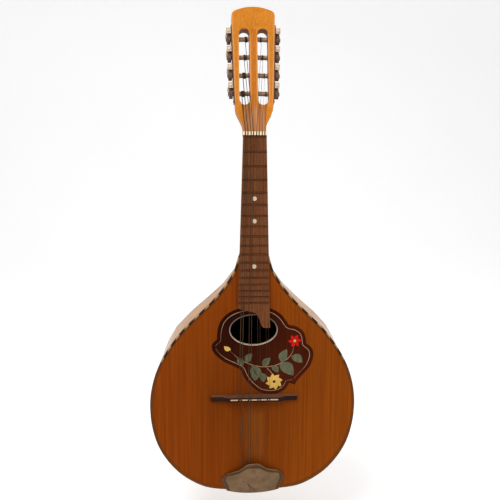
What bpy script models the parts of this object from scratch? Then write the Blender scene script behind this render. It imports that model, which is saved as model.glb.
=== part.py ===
"""A bowl back mandolin with four pairs of strings and a slotted head, at its real size in metres.

The instrument stands upright: +Z runs along the neck towards the head, the soundboard faces -Y and the
treble side is +X. Its pieces are laid out in the maker's frame, carried by the empty "mandolin": x across,
y backwards from the soundboard's front, z upwards from the zero fret. The world origin is on the back of
the neck just below the head, where a hanger's fork holds the instrument.
"""

import math

import bmesh
import bpy
import numpy as np
from mathutils import Matrix, Vector

MM = 0.001
FIT = 0.3 * MM  # the gap left at every glued or resting joint

# Strings and scale
SCALE_LENGTH = 330 * MM
SADDLE_SETBACK = 3 * MM
FRET_COUNT = 17
COURSE_AT_NUT = 6.8 * MM
PAIR_AT_NUT = 3.0 * MM
COURSE_AT_SADDLE = 12.2 * MM
PAIR_AT_SADDLE = 3.0 * MM
COURSE_AT_HOOKS = 8.0 * MM
PAIR_AT_HOOKS = 2.8 * MM
STRING_DIAMETERS = {"g": 1.0 * MM, "d": 0.7 * MM, "a": 0.42 * MM, "e": 0.3 * MM}
STRING_CLEAR = 0.2 * MM
WINDING_TURNS = 3
WINDING_GAP = 0.55 * MM
WINDING_POINTS_PER_TURN = 10
WINDING_PLACE = 0.80  # share of the slot's width, on the roller nearest the nut
WINDING_STEP_IN = 0.13

# Neck and fingerboard
NUT_WIDTH = 28.6 * MM
LAST_FRET_WIDTH = 39.6 * MM
FINGERBOARD_THICKNESS = 4.7 * MM
FINGERBOARD_START = 1.2 * MM
FINGERBOARD_PAST_LAST_FRET = 7.4 * MM
TONGUE_LENGTH = 25.2 * MM
TONGUE_WIDTH = 10.8 * MM
FRET_WIDTH = 2.0 * MM
FRET_HEIGHT = 1.0 * MM
NUT_THICKNESS = 4.5 * MM
NUT_ABOVE_STRING = 0.9 * MM
NUT_GROOVE_WIDTH = 1.5 * MM
NECK_DEPTH_AT_NUT = 16 * MM
NECK_DEPTH_AT_BODY = 26 * MM
BODY_BELOW_ZERO_FRET = 145 * MM
HEEL_LENGTH = 45 * MM
NECK_FULLNESS = 0.9  # exponent of the neck's section, as of the bowl's
NECK_TAPER_SHARE = 0.45  # of the neck's deepening, the rest being the heel's sweep
CRADLE_BELOW_ZERO_FRET = 4 * MM

# Head
HEAD_ANGLE = math.radians(15)
HEAD_STEP = 1.6 * MM
HEAD_THICKNESS = 15 * MM
HEAD_LENGTH = 157 * MM
HEAD_ARCH = 4.2 * MM
HEAD_CORNER = 7.5 * MM
HEAD_FLARE_START = 3.5 * MM
HEAD_SHOULDER = 30 * MM
HEAD_HALF_AT_FIRST_ROLLER = 23.9 * MM
HEAD_FLARE = math.radians(1.8)
HEAD_ABOVE_SLOTS = 27.6 * MM
SLOT_LENGTH = 95.6 * MM
SLOT_INNER = 4.9 * MM
SLOT_WIDTH = 13 * MM
RAMP_WIDTH = 10 * MM
RAMP_DEPTH = 4 * MM
RAMP_PAST_HEAD = 1.8 * MM

# Machine heads
ROLLER_FROM_SLOT_END = 12.2 * MM
ROLLER_PITCH = 23 * MM
ROLLERS_PER_SIDE = 4
ROLLER_DEPTH = 7.5 * MM
ROLLER_RADIUS = 3.0 * MM
ROLLER_END_PLAY = 0.5 * MM
SPINDLE_RADIUS = 1.8 * MM
SPINDLE_BORE = 2.2 * MM
SPINDLE_IN_BAR = 3.3 * MM
PLATE_THICKNESS = 1.0 * MM
PLATE_WIDTH = 13.6 * MM
PLATE_PAST_ROLLER = 12 * MM
PLATE_PAST_WORM = 7.2 * MM
TAB_INSIDE_WORM_EDGE = 0.6 * MM
GEAR_TEETH = 14
GEAR_RADIUS = 5.8 * MM
GEAR_TOOTH = 0.6 * MM
GEAR_THICKNESS = 3.4 * MM
GEAR_HUB_RADIUS = 2.7 * MM
GEAR_OFF_PLATE = 0.9 * MM
SCREW_HEAD = 1.3 * MM
WORM_CENTRES = 9.6 * MM
WORM_RADIUS = 2.7 * MM
WORM_SHAFT_RADIUS = 1.2 * MM
WORM_SHAFT_BORE = 1.6 * MM
TAB_WIDTH = 7.0 * MM
TAB_THICKNESS = 1.2 * MM
BUTTON_LENGTH = 10.5 * MM
BUTTON_WIDTH = 12 * MM
BUTTON_FLATNESS = 0.62
BUTTON_BEHIND_HEAD = 2.4 * MM
ROUND_STEP_COUNT = 10
BUTTON_STEP_COUNT = 12

# Body
BODY_LENGTH = 314.8 * MM
BODY_WIDTH = 264.6 * MM
WIDEST_PLACE = 0.6258  # share of the body's length
BOWL_DEPTH = 126 * MM
SHOULDER_SWELL = 15 * MM
SWELL_PLACE = 0.28  # the swell's middle and half its length, as shares of the body's length
SWELL_REACH = 0.25
HEEL_FADE = 0.1
ACROSS_FULLNESS = 0.7  # exponents of the bowl's section: 1 is an ellipse, less is fuller
DEPTH_FULLNESS = 0.9
RIB_COUNT = 9
RIB_THICKNESS = 2.0 * MM
RIB_STATION_COUNT = 24
RIM_POINT_COUNT = 45
DENSE_POINT_COUNT = 600
TAIL_ZONE = 0.1  # share of the body's length in which its outline turns through the middle
SOUNDBOARD_THICKNESS = 2.8 * MM
BINDING_WIDTH = 3.0 * MM
CLASP_THICKNESS = 1.0 * MM
CLASP_DEPTH = 42 * MM
CLASP_END_DEPTH = 10 * MM
CLASP_SPREAD = math.radians(60)
CLASP_OFF_RIBS = 0.42 * MM
LINING_OFF_RIB = 1.4 * MM  # the ribs lean inwards beside the lining
LINING_WIDTH = 5 * MM
LINING_DEPTH = 6 * MM
BLOCK_OFF_RIB = 0.9 * MM
BLOCK_LENGTH = 36 * MM
TAIL_BLOCK_LENGTH = 20 * MM
TAIL_BLOCK_WIDTH = 60 * MM
TAIL_BLOCK_DEPTH = 44 * MM
BRACE_WIDTH = 6 * MM
BRACE_DEPTH = 13 * MM
BRACE_OFF_LINING = 3.5 * MM
UPPER_BRACE_ABOVE_HOLE = 12 * MM
LOWER_BRACE_BELOW_HOLE = 22 * MM

# Soundhole and pickguard
SOUNDHOLE_BELOW_LAST_FRET = 36.6 * MM
SOUNDHOLE_HALF_WIDTH = 31 * MM
SOUNDHOLE_HALF_HEIGHT = 20.6 * MM
RING_WIDTH = 1.2 * MM
RING_PROUD = 0.3 * MM
PICKGUARD_WIDTH = 130 * MM
PICKGUARD_THICKNESS = 0.9 * MM

# Bridge
BRIDGE_LENGTH = 111 * MM
BRIDGE_OFF_MIDDLE = 1.0 * MM  # the loose bridge stands a little to the treble side
BRIDGE_FOOT = 9 * MM
BRIDGE_TOP = 5.4 * MM
BRIDGE_HEIGHT = 8.4 * MM
BRIDGE_WING_HEIGHT = 3.4 * MM
BRIDGE_CENTRE_LENGTH = 66 * MM
BRIDGE_SLOPE_LENGTH = 7.8 * MM
SADDLE_LENGTH = 61 * MM
SADDLE_THICKNESS = 2.1 * MM
SADDLE_EDGE = 0.45 * MM
SADDLE_SLOT_DEPTH = 2.6 * MM
SADDLE_PROUD = 1.2 * MM

# Tailpiece and its cover
TAILPIECE_WIDTH = 40 * MM
TAILPIECE_REACH = 26 * MM
TAILPIECE_DROP = 18 * MM
TAILPIECE_THICKNESS = 0.8 * MM
HOOKS_FROM_TAIL = 19 * MM
HOOK_SIZE = 1.2 * MM
HOOK_HEIGHT = 4.4 * MM
STRING_AT_HOOK = 3.1 * MM
COVER_REACH = 40 * MM
COVER_MOUTH_WIDTH = 71 * MM
COVER_WIDTH = 82.4 * MM
COVER_CROWN = 8.4 * MM
COVER_CROWN_AT_TAIL = 1.6 * MM
COVER_FIELD_RAISED = 1.3 * MM
COVER_SKIRT = 12 * MM
COVER_THICKNESS = 0.8 * MM
COVER_BEND = 1.1 * MM

SMOOTH_UP_TO = math.radians(35)

COLOURS = {
    "amber_wood": ((0.72, 0.30, 0.06), 0.3, 0.0),
    "rosewood": ((0.13, 0.055, 0.035), 0.45, 0.0),
    "bone": ((0.85, 0.78, 0.62), 0.4, 0.0),
    "spruce": ((0.42, 0.13, 0.02), 0.2, 0.0),
    "dark_inlay": ((0.05, 0.012, 0.01), 0.25, 0.0),
    "binding": ((0.22, 0.09, 0.03), 0.35, 0.0),
    "maple": ((0.80, 0.52, 0.33), 0.3, 0.0),
    "inner_wood": ((0.65, 0.48, 0.30), 0.7, 0.0),
    "bridge_wood": ((0.06, 0.02, 0.018), 0.5, 0.0),
    "aged_nickel": ((0.42, 0.36, 0.29), 0.4, 1.0),
    "tuner_metal": ((0.30, 0.24, 0.18), 0.45, 1.0),
    "cream_plastic": ((0.85, 0.78, 0.62), 0.35, 0.0),
    "string_steel": ((0.60, 0.60, 0.60), 0.3, 1.0),
    "string_wound": ((0.45, 0.30, 0.17), 0.4, 1.0),
}

COURSES = ("g", "d", "a", "e")
WOUND_COURSES = ("g", "d")


def fret_place(number):
    """Height of a fret under the zero fret, by the twelfth root of two."""
    return -SCALE_LENGTH * (1 - 2 ** (-number / 12))


LAST_FRET = fret_place(FRET_COUNT)
FINGERBOARD_TOP = -(FIT + FINGERBOARD_THICKNESS)
FRET_TOP = FINGERBOARD_TOP - FRET_HEIGHT
FINGERBOARD_END = LAST_FRET - FINGERBOARD_PAST_LAST_FRET
SADDLE_PLACE = -(SCALE_LENGTH + SADDLE_SETBACK)
SOUNDHOLE_PLACE = LAST_FRET - SOUNDHOLE_BELOW_LAST_FRET
BODY_TOP = -BODY_BELOW_ZERO_FRET
TAIL = BODY_TOP - BODY_LENGTH
RIM_PLANE = SOUNDBOARD_THICKNESS + FIT  # where ribs, lining, blocks and braces meet the soundboard
HEAD_START = FINGERBOARD_START + FIT + NUT_THICKNESS + FIT
SLOT_END = HEAD_LENGTH - HEAD_ABOVE_SLOTS
SLOT_START = SLOT_END - SLOT_LENGTH
ROLLER_FROM_NUT = SLOT_END - ROLLER_FROM_SLOT_END - (ROLLERS_PER_SIDE - 1) * ROLLER_PITCH
TAIL_FACE = TAIL - CLASP_OFF_RIBS - CLASP_THICKNESS - FIT


def neck_half_width(z):
    """Half the fingerboard's width, which grows evenly from the nut to the last fret."""
    return (NUT_WIDTH + (LAST_FRET_WIDTH - NUT_WIDTH) * z / LAST_FRET) / 2


def neck_depth(z):
    """Depth of the neck behind the soundboard plane, with the heel's sweep near the body."""
    along = min(max(z / BODY_TOP, 0.0), 1.0)
    into_heel = max(0.0, 1 - (z - BODY_TOP) / HEEL_LENGTH)
    deeper = NECK_TAPER_SHARE * along + (1 - NECK_TAPER_SHARE) * into_heel**2
    return NECK_DEPTH_AT_NUT + (NECK_DEPTH_AT_BODY - NECK_DEPTH_AT_NUT) * deeper


CRADLE = Vector((0, neck_depth(-CRADLE_BELOW_ZERO_FRET), -CRADLE_BELOW_ZERO_FRET))
HEAD_FRAME = Matrix.Translation((0, HEAD_STEP, HEAD_START)) @ Matrix.Rotation(-HEAD_ANGLE, 4, "X")
BRIDGE_MOVE = Matrix.Translation((BRIDGE_OFF_MIDDLE, 0, 0))


def smooth_curve(points, count):
    """A Catmull-Rom curve through points, as count points evenly spaced along its length."""
    points = np.array(points, float)
    padded = np.vstack([2 * points[0] - points[1], points, 2 * points[-1] - points[-2]])
    steps = np.linspace(0, 1, 24, endpoint=False)[:, None]
    pieces = []
    for a, b, c, d in zip(padded, padded[1:], padded[2:], padded[3:]):
        pieces.append(
            0.5 * (2 * b + (c - a) * steps + (2 * a - 5 * b + 4 * c - d) * steps**2
                   + (3 * b - a - 3 * c + d) * steps**3)
        )
    dense = np.vstack([*pieces, points[-1:]])
    return evenly_spaced(dense, count)


def evenly_spaced(dense, count):
    """count points at even distances along a dense line of points."""
    length = np.concatenate([[0], np.cumsum(np.linalg.norm(np.diff(dense, axis=0), axis=1))])
    wanted = np.linspace(0, length[-1], count)
    return np.stack([np.interp(wanted, length, dense[:, i]) for i in range(dense.shape[1])], axis=1)


def cut_at_middle(points):
    """A curve through points whose last ones lie past the middle of the tail, cut off there."""
    dense = smooth_curve(points, 2 * DENSE_POINT_COUNT)
    above_tail = dense[:, 1] > TAIL + TAIL_ZONE * BODY_LENGTH
    dense = dense[: int(np.argmin(np.abs(dense[:, 0]) + above_tail))]
    dense[-1] = (0, TAIL)
    return dense


def half_rim(count):
    """Half of the body's outline in x and z, from the neck's corner to the middle of the tail."""
    wide = BODY_WIDTH / 2
    shares = (
        (0.204, 0.0826), (0.378, 0.1823), (0.718, 0.3288), (0.926, 0.4733), (1.0, WIDEST_PLACE),
        (0.936, 0.784), (0.750, 0.904), (0.50, 0.9755), (0.25, 0.9955), (0.0, 1.0), (-0.25, 0.9955),
    )
    points = [(neck_half_width(BODY_TOP), BODY_TOP)]
    points += [(wide * x, BODY_TOP - BODY_LENGTH * z) for x, z in shares]
    return evenly_spaced(cut_at_middle(points), count)


def half_back(count):
    """The bowl's back in its middle plane: depth behind the rim plane and z, from the heel to the tail."""
    shares = (
        (0.205, 0.06), (0.32, 0.15), (0.60, 0.30), (0.84, 0.45), (0.965, 0.59), (1.0, 0.71),
        (0.92, 0.84), (0.70, 0.935), (0.36, 0.986), (0.0, 1.0), (-0.36, 0.986),
    )
    points = [(NECK_DEPTH_AT_BODY - RIM_PLANE, BODY_TOP)]
    points += [(BOWL_DEPTH * y, BODY_TOP - BODY_LENGTH * z) for y, z in shares]
    return evenly_spaced(cut_at_middle(points), count)


RIM = half_rim(DENSE_POINT_COUNT)
BACK = half_back(DENSE_POINT_COUNT)


def rim_half_width(z):
    """Half the body's width at height z."""
    return np.interp(-np.asarray(z), -RIM[:, 1], RIM[:, 0])


def tail_edge(x):
    """Height of the rim round the tail, at a distance x from the middle."""
    lower = RIM[int(np.argmax(RIM[:, 0])):][::-1]
    return np.interp(np.abs(x), lower[:, 0], lower[:, 1])


def bowl_half_depth(z):
    """The bowl's depth behind the rim plane at height z."""
    return np.interp(-np.asarray(z), -BACK[:, 1], BACK[:, 0])


def bowl_point(z, turn):
    """A point of the bowl's outer face: turn runs from 0 at the treble rim through the back to pi.

    The section is a fuller oval than an ellipse, and the shoulders swell a little past the rim.
    """
    z, turn = np.broadcast_arrays(np.asarray(z, float), np.asarray(turn, float))
    cosine, sine = np.cos(turn), np.sin(turn)
    share = (BODY_TOP - z) / BODY_LENGTH
    from_shoulder = np.clip((share - SWELL_PLACE) / SWELL_REACH, -1, 1)
    swell = SHOULDER_SWELL * np.cos(from_shoulder * math.pi / 2) ** 2 * np.sin(2 * turn)
    heel_fade = np.clip(share / HEEL_FADE, 0, 1)
    x = rim_half_width(z) * np.sign(cosine) * np.abs(cosine) ** ACROSS_FULLNESS + swell * heel_fade
    y = RIM_PLANE + bowl_half_depth(z) * np.abs(sine) ** DEPTH_FULLNESS
    return np.stack([x, y, z], axis=-1)


def bowl_normal(z, turn):
    """The outward direction of the bowl's face at a point, from small steps along and across it."""
    step = 0.5 * MM
    z = np.clip(z, TAIL + 2 * step, BODY_TOP - 2 * step)
    along = bowl_point(z - step, turn) - bowl_point(z + step, turn)
    across = bowl_point(z, turn + 0.01) - bowl_point(z, turn - 0.01)
    # Beside the rim the section is mirrored, so the step across is taken on the bowl's own side.
    across = np.where((turn < 0.01)[..., None], bowl_point(z, turn + 0.02) - bowl_point(z, turn), across)
    across = np.where(
        (turn > math.pi - 0.01)[..., None], bowl_point(z, turn) - bowl_point(z, turn - 0.02), across
    )
    normal = np.cross(along, across)
    return normal / np.linalg.norm(normal, axis=-1, keepdims=True)


def inset(points, distance):
    """A closed outline moved inwards by a distance, each point along the mean of its sides' normals."""
    points = np.asarray(points, float)
    before = points - np.roll(points, 1, axis=0)
    after = np.roll(points, -1, axis=0) - points
    before /= np.linalg.norm(before, axis=1, keepdims=True)
    after /= np.linalg.norm(after, axis=1, keepdims=True)
    normal = np.stack([-(before + after)[:, 1], (before + after)[:, 0]], axis=1)
    normal /= np.linalg.norm(normal, axis=1, keepdims=True)
    miter = np.maximum(0.5, (normal * np.stack([-after[:, 1], after[:, 0]], axis=1)).sum(axis=1))
    area = (points[:, 0] * np.roll(points[:, 1], -1) - points[:, 1] * np.roll(points[:, 0], -1)).sum()
    return points + normal * (distance * math.copysign(1, area) / miter)[:, None]


def ellipse(half_width, half_height, count):
    """An oval outline about the soundhole's centre."""
    turn = np.linspace(0, 2 * math.pi, count, endpoint=False)
    return np.stack([half_width * np.cos(turn), SOUNDHOLE_PLACE + half_height * np.sin(turn)], axis=1)


def clear_scene():
    for obj in list(bpy.data.objects):
        bpy.data.objects.remove(obj, do_unlink=True)


def new_collection(name):
    collection = bpy.data.collections.new(name)
    bpy.context.scene.collection.children.link(collection)
    return collection


def make_material(name):
    colour, roughness, metallic = COLOURS[name]
    material = bpy.data.materials.new(name)
    material.use_nodes = True
    shader = material.node_tree.nodes["Principled BSDF"]
    shader.inputs["Base Color"].default_value = (*colour, 1.0)
    shader.inputs["Roughness"].default_value = roughness
    shader.inputs["Metallic"].default_value = metallic
    material.diffuse_color = (*colour, 1.0)
    return material


class Workshop:
    """The collections, the materials and the empties that the pieces hang on."""

    def __init__(self):
        clear_scene()
        self.parts = new_collection("mandolin_parts")
        self.cutters = new_collection("mandolin_cutters")
        self.materials = {name: make_material(name) for name in COLOURS}
        self.mandolin = self.empty("mandolin", None, Matrix.Translation(-CRADLE))
        self.head = self.empty("head", self.mandolin, HEAD_FRAME)
        self.sides = {side: self.empty(f"{side}_side", self.head, side_in_head(side)) for side in SIDES}

    def empty(self, name, parent, matrix):
        obj = bpy.data.objects.new(name, None)
        obj.empty_display_size = 0.01
        self.parts.objects.link(obj)
        obj.parent = parent
        obj.matrix_basis = matrix
        return obj

    def place(self, name, mesh, material, parent=None, matrix=Matrix()):
        """A solid piece of the instrument."""
        obj = bpy.data.objects.new(name, mesh)
        self.parts.objects.link(obj)
        mesh.materials.clear()
        mesh.materials.append(self.materials[material])
        obj.parent = parent or self.mandolin
        obj.matrix_basis = matrix
        return obj

    def cutter(self, name, mesh, parent=None, matrix=Matrix()):
        """A helper shape for a Boolean, left out of the instrument."""
        obj = bpy.data.objects.new(name, mesh)
        self.cutters.objects.link(obj)
        obj.parent = parent or self.mandolin
        obj.matrix_basis = matrix
        obj.hide_render = True
        obj.display_type = "WIRE"
        return obj


SIDES = {"bass": -1, "treble": 1}


def side_in_head(side):
    """A head side's frame in the head's: x outwards, z up the side from the first roller, y across its depth.

    On the bass side y points to the front, so depths there are counted with the sign of SIDES.
    """
    sign = SIDES[side]
    outwards = Vector((sign * math.cos(HEAD_FLARE), 0, -math.sin(HEAD_FLARE)))
    upwards = Vector((sign * math.sin(HEAD_FLARE), 0, math.cos(HEAD_FLARE)))
    sideways = upwards.cross(outwards)
    frame = Matrix((outwards, sideways, upwards)).transposed().to_4x4()
    return Matrix.Translation((sign * HEAD_HALF_AT_FIRST_ROLLER, 0, ROLLER_FROM_NUT)) @ frame


def add_boolean(obj, operation, other):
    modifier = obj.modifiers.new(f"{operation.lower()}_{other.name}", "BOOLEAN")
    modifier.operation = operation
    modifier.object = other
    return modifier


def mesh_of(name, build):
    """A mesh from a function that fills a bmesh."""
    shape = bmesh.new()
    build(shape)
    mesh = bpy.data.meshes.new(name)
    shape.to_mesh(mesh)
    shape.free()
    return mesh


def box_into(shape, low, high):
    """Adds a box between two corners to a bmesh."""
    low, high = Vector(low), Vector(high)
    matrix = Matrix.Translation((low + high) / 2) @ Matrix.Diagonal((*(high - low), 1))
    return bmesh.ops.create_cube(shape, size=1, matrix=matrix)["verts"]


def box_mesh(name, low, high):
    return mesh_of(name, lambda shape: box_into(shape, low, high))


def cylinder_into(shape, start, end, radius, sides=ROUND_STEP_COUNT):
    """Adds a closed cylinder between two points to a bmesh."""
    start, end = Vector(start), Vector(end)
    turn = (end - start).to_track_quat("Z", "Y").to_matrix().to_4x4()
    matrix = Matrix.Translation((start + end) / 2) @ turn
    return bmesh.ops.create_cone(
        shape, cap_ends=True, segments=sides, radius1=radius, radius2=radius,
        depth=(end - start).length, matrix=matrix,
    )["verts"]


def plate_mesh(name, outlines, front, back):
    """A flat plate in the xz plane between two depths. Outlines after the first are its holes."""
    curve = bpy.data.curves.new(name, "CURVE")
    curve.dimensions = "2D"
    curve.fill_mode = "BOTH"
    curve.extrude = (back - front) / 2
    for outline in outlines:
        spline = curve.splines.new("POLY")
        spline.points.add(len(outline) - 1)
        for point, (x, z) in zip(spline.points, outline):
            point.co = (x, z, 0, 1)
        spline.use_cyclic_u = True
    guide = bpy.data.objects.new(name, curve)
    bpy.context.scene.collection.objects.link(guide)
    graph = bpy.context.evaluated_depsgraph_get()
    mesh = bpy.data.meshes.new_from_object(guide.evaluated_get(graph))
    bpy.data.objects.remove(guide, do_unlink=True)
    shape = bmesh.new()
    shape.from_mesh(mesh)
    bmesh.ops.remove_doubles(shape, verts=shape.verts, dist=1e-6)
    # The curve lies in its own xy plane: its y becomes z, and its thickness runs along y.
    stand_up = Matrix.Translation((0, (front + back) / 2, 0)) @ Matrix.Rotation(math.pi / 2, 4, "X")
    bmesh.ops.transform(shape, matrix=stand_up, verts=shape.verts)
    bmesh.ops.recalc_face_normals(shape, faces=shape.faces)
    shape.to_mesh(mesh)
    shape.free()
    return mesh


def loft_mesh(name, rings):
    """A closed solid through rings of points, all with the same count, with flat ends."""
    rings = np.asarray(rings, float)

    def build(shape):
        rows = [[shape.verts.new(point) for point in ring] for ring in rings]
        for row, following in zip(rows, rows[1:]):
            for i in range(len(row)):
                j = (i + 1) % len(row)
                shape.faces.new((row[i], row[j], following[j], following[i]))
        shape.faces.new(rows[0][::-1])
        shape.faces.new(rows[-1])
        bmesh.ops.recalc_face_normals(shape, faces=shape.faces)

    return mesh_of(name, build)


def sheet_mesh(name, grid):
    """An open surface through a grid of points."""
    grid = np.asarray(grid, float)

    def build(shape):
        rows = [[shape.verts.new(point) for point in row] for row in grid]
        for row, following in zip(rows, rows[1:]):
            for i in range(len(row) - 1):
                shape.faces.new((row[i], row[i + 1], following[i + 1], following[i]))

    return mesh_of(name, build)


def turned_mesh(name, profile):
    """The edge chain of a turned piece, given as radius and height from its top end to its bottom end."""
    mesh = bpy.data.meshes.new(name)
    points = [(radius, 0, height) for radius, height in profile]
    mesh.from_pydata(points, [(i, i + 1) for i in range(len(points) - 1)], [])
    return mesh


def add_turning(obj, steps=ROUND_STEP_COUNT):
    modifier = obj.modifiers.new("turning", "SCREW")
    modifier.axis = "Z"
    modifier.angle = 2 * math.pi
    modifier.steps = steps
    modifier.render_steps = steps
    modifier.use_merge_vertices = True
    modifier.merge_threshold = 1e-6
    modifier.use_smooth_shade = True
    return modifier


def string_names():
    """Each string's name, its place from -3.5 to 3.5 across the instrument, and its course."""
    names = []
    for number, course in enumerate(COURSES):
        for twin in (0, 1):
            side = ("bass", "treble")[twin]
            names.append((f"string_{course}_{side}", number - 1.5, twin - 0.5, course))
    return names


def neck_section(z):
    """The neck's D-shaped section, its flat top on the soundboard plane."""
    turn = np.linspace(0, math.pi, 13)
    x = neck_half_width(z) * np.sign(np.cos(turn)) * np.abs(np.cos(turn)) ** NECK_FULLNESS
    y = neck_depth(z) * np.sin(turn) ** NECK_FULLNESS
    return np.stack([x, y, np.full_like(x, z)], axis=1)


def head_outline():
    """The head's outline in its own frame: x across and z up from the nut's end."""
    half_nut = neck_half_width(HEAD_START)
    flare = math.tan(HEAD_FLARE)
    side_low = HEAD_HALF_AT_FIRST_ROLLER - flare * (ROLLER_FROM_NUT - HEAD_SHOULDER)
    corner_low = HEAD_LENGTH - HEAD_ARCH - HEAD_CORNER
    side_high = HEAD_HALF_AT_FIRST_ROLLER + flare * (corner_low - ROLLER_FROM_NUT)
    swing = np.linspace(0, 1, 8)
    ease = swing**2 * (3 - 2 * swing)
    half = [(half_nut, -HEAD_FLARE_START)]
    half += [
        (half_nut + (side_low - half_nut) * e, HEAD_FLARE_START + (HEAD_SHOULDER - HEAD_FLARE_START) * s)
        for s, e in zip(swing, ease)
    ]
    corner = np.linspace(0, math.radians(72), 6)
    half += [
        (side_high - HEAD_CORNER * (1 - math.cos(c)), corner_low + HEAD_CORNER * math.sin(c)) for c in corner
    ]
    last_x, last_z = half[-1]
    for share in (0.75, 0.5, 0.25):
        half.append((last_x * share, last_z + (HEAD_LENGTH - last_z) * (1 - share**2)))
    outline = np.array(half)
    return np.vstack([outline, [(0, HEAD_LENGTH)], (outline * (-1, 1))[::-1]])


def slot_outline(sign):
    """A head slot with half-round ends."""
    radius = SLOT_WIDTH / 2
    centre = sign * (SLOT_INNER + radius)
    turn = np.linspace(0, math.pi, 9)
    top = np.stack([centre + radius * np.cos(turn), SLOT_END - radius + radius * np.sin(turn)], axis=1)
    bottom = np.stack([centre - radius * np.cos(turn), SLOT_START + radius - radius * np.sin(turn)], axis=1)
    return np.vstack([top, bottom])


def ramp_rings(sign):
    """A sloping channel from a slot's lower end to the nut, which the strings run down."""
    low, high = -RAMP_PAST_HEAD, SLOT_START + SLOT_WIDTH / 2
    near_nut = sign * COURSE_AT_NUT
    at_slot = sign * (SLOT_INNER + SLOT_WIDTH / 2)
    rings = []
    for x, z, floor in ((near_nut, low, 0.0), (at_slot, high, RAMP_DEPTH)):
        rings.append([
            (x - RAMP_WIDTH / 2, -HEAD_STEP, z), (x + RAMP_WIDTH / 2, -HEAD_STEP, z),
            (x + RAMP_WIDTH / 2, floor, z), (x - RAMP_WIDTH / 2, floor, z),
        ])
    return rings


def roller_heights():
    return [number * ROLLER_PITCH for number in range(ROLLERS_PER_SIDE)]


def side_distance(x, along):
    """Distance outwards from the head's side of a point x from its middle, beside a roller."""
    middle = HEAD_HALF_AT_FIRST_ROLLER + along * math.sin(HEAD_FLARE)
    return (x - middle) / math.cos(HEAD_FLARE)


def make_neck_and_head(shop):
    stations = np.concatenate([[HEAD_START], np.linspace(0, BODY_TOP, 12)])
    neck = shop.place("neck_and_head", loft_mesh("neck", [neck_section(z) for z in stations]), "amber_wood")
    head = shop.cutter("head_block", plate_mesh("head", [head_outline()], 0, HEAD_THICKNESS), shop.head)
    add_boolean(neck, "UNION", head)
    for side, sign in SIDES.items():
        slot = plate_mesh(f"{side}_slot", [slot_outline(sign)], -HEAD_THICKNESS, 2 * HEAD_THICKNESS)
        add_boolean(neck, "DIFFERENCE", shop.cutter(f"{side}_slot", slot, shop.head))
        ramp = loft_mesh(f"{side}_ramp", ramp_rings(sign))
        add_boolean(neck, "DIFFERENCE", shop.cutter(f"{side}_ramp", ramp, shop.head))

        def bores(shape, sign=sign):
            for along in roller_heights():
                inner = side_distance(SLOT_INNER - SPINDLE_IN_BAR - FIT, along)
                depth = sign * ROLLER_DEPTH
                cylinder_into(shape, (inner, depth, along), (PLATE_WIDTH, depth, along), SPINDLE_BORE)

        add_boolean(
            neck, "DIFFERENCE",
            shop.cutter(f"{side}_bores", mesh_of(f"{side}_bores", bores), shop.sides[side]),
        )


def make_nut(shop):
    low, high = FINGERBOARD_START + FIT, FINGERBOARD_START + FIT + NUT_THICKNESS
    half = NUT_WIDTH / 2
    top = FRET_TOP - STRING_DIAMETERS["g"] - STRING_CLEAR - NUT_ABOVE_STRING
    nut = shop.place("nut", box_mesh("nut", (-half, top, low), (half, -FIT, high)), "bone")

    def grooves(shape):
        for _, course, twin, _ in string_names():
            x = course * COURSE_AT_NUT + twin * PAIR_AT_NUT
            box_into(
                shape, (x - NUT_GROOVE_WIDTH / 2, top - 1 * MM, low - 1 * MM),
                (x + NUT_GROOVE_WIDTH / 2, FRET_TOP, high + 1 * MM),
            )

    add_boolean(nut, "DIFFERENCE", shop.cutter("nut_grooves", mesh_of("nut_grooves", grooves)))


def fingerboard_outline():
    """The fingerboard from the nut to its end, which slants and runs out into the treble tongue."""
    end_half = neck_half_width(FINGERBOARD_END)
    tip = FINGERBOARD_END - TONGUE_LENGTH
    tip_half = neck_half_width(tip)
    tongue_root = end_half - 1.7 * TONGUE_WIDTH
    sweep = smooth_curve(
        [
            (-end_half, FINGERBOARD_END), (-0.4 * end_half, FINGERBOARD_END - 0.13 * TONGUE_LENGTH),
            (tongue_root, FINGERBOARD_END - 0.24 * TONGUE_LENGTH),
            (tongue_root + 0.42 * TONGUE_WIDTH, FINGERBOARD_END - 0.48 * TONGUE_LENGTH),
            (tip_half - TONGUE_WIDTH, FINGERBOARD_END - 0.89 * TONGUE_LENGTH),
            (tip_half - 0.7 * TONGUE_WIDTH, tip), (tip_half, tip),
        ],
        18,
    )
    top_half = neck_half_width(FINGERBOARD_START)
    return [(top_half, FINGERBOARD_START), (-top_half, FINGERBOARD_START), *sweep]


def make_fingerboard(shop):
    board = shop.place(
        "fingerboard",
        plate_mesh("fingerboard", [fingerboard_outline()], FINGERBOARD_TOP, -FIT),
        "rosewood",
    )

    def frets(shape):
        for number in range(FRET_COUNT + 1):
            z = fret_place(number)
            half = neck_half_width(z)
            verts = box_into(
                shape, (-half, FRET_TOP, z - FRET_WIDTH / 2),
                (half, FINGERBOARD_TOP + 0.5 * MM, z + FRET_WIDTH / 2),
            )
            for vert in verts:
                if vert.co.y < FINGERBOARD_TOP:
                    vert.co.z = z + (vert.co.z - z) * 0.4

    add_boolean(board, "UNION", shop.cutter("fret_wires", mesh_of("fret_wires", frets)))


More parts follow.
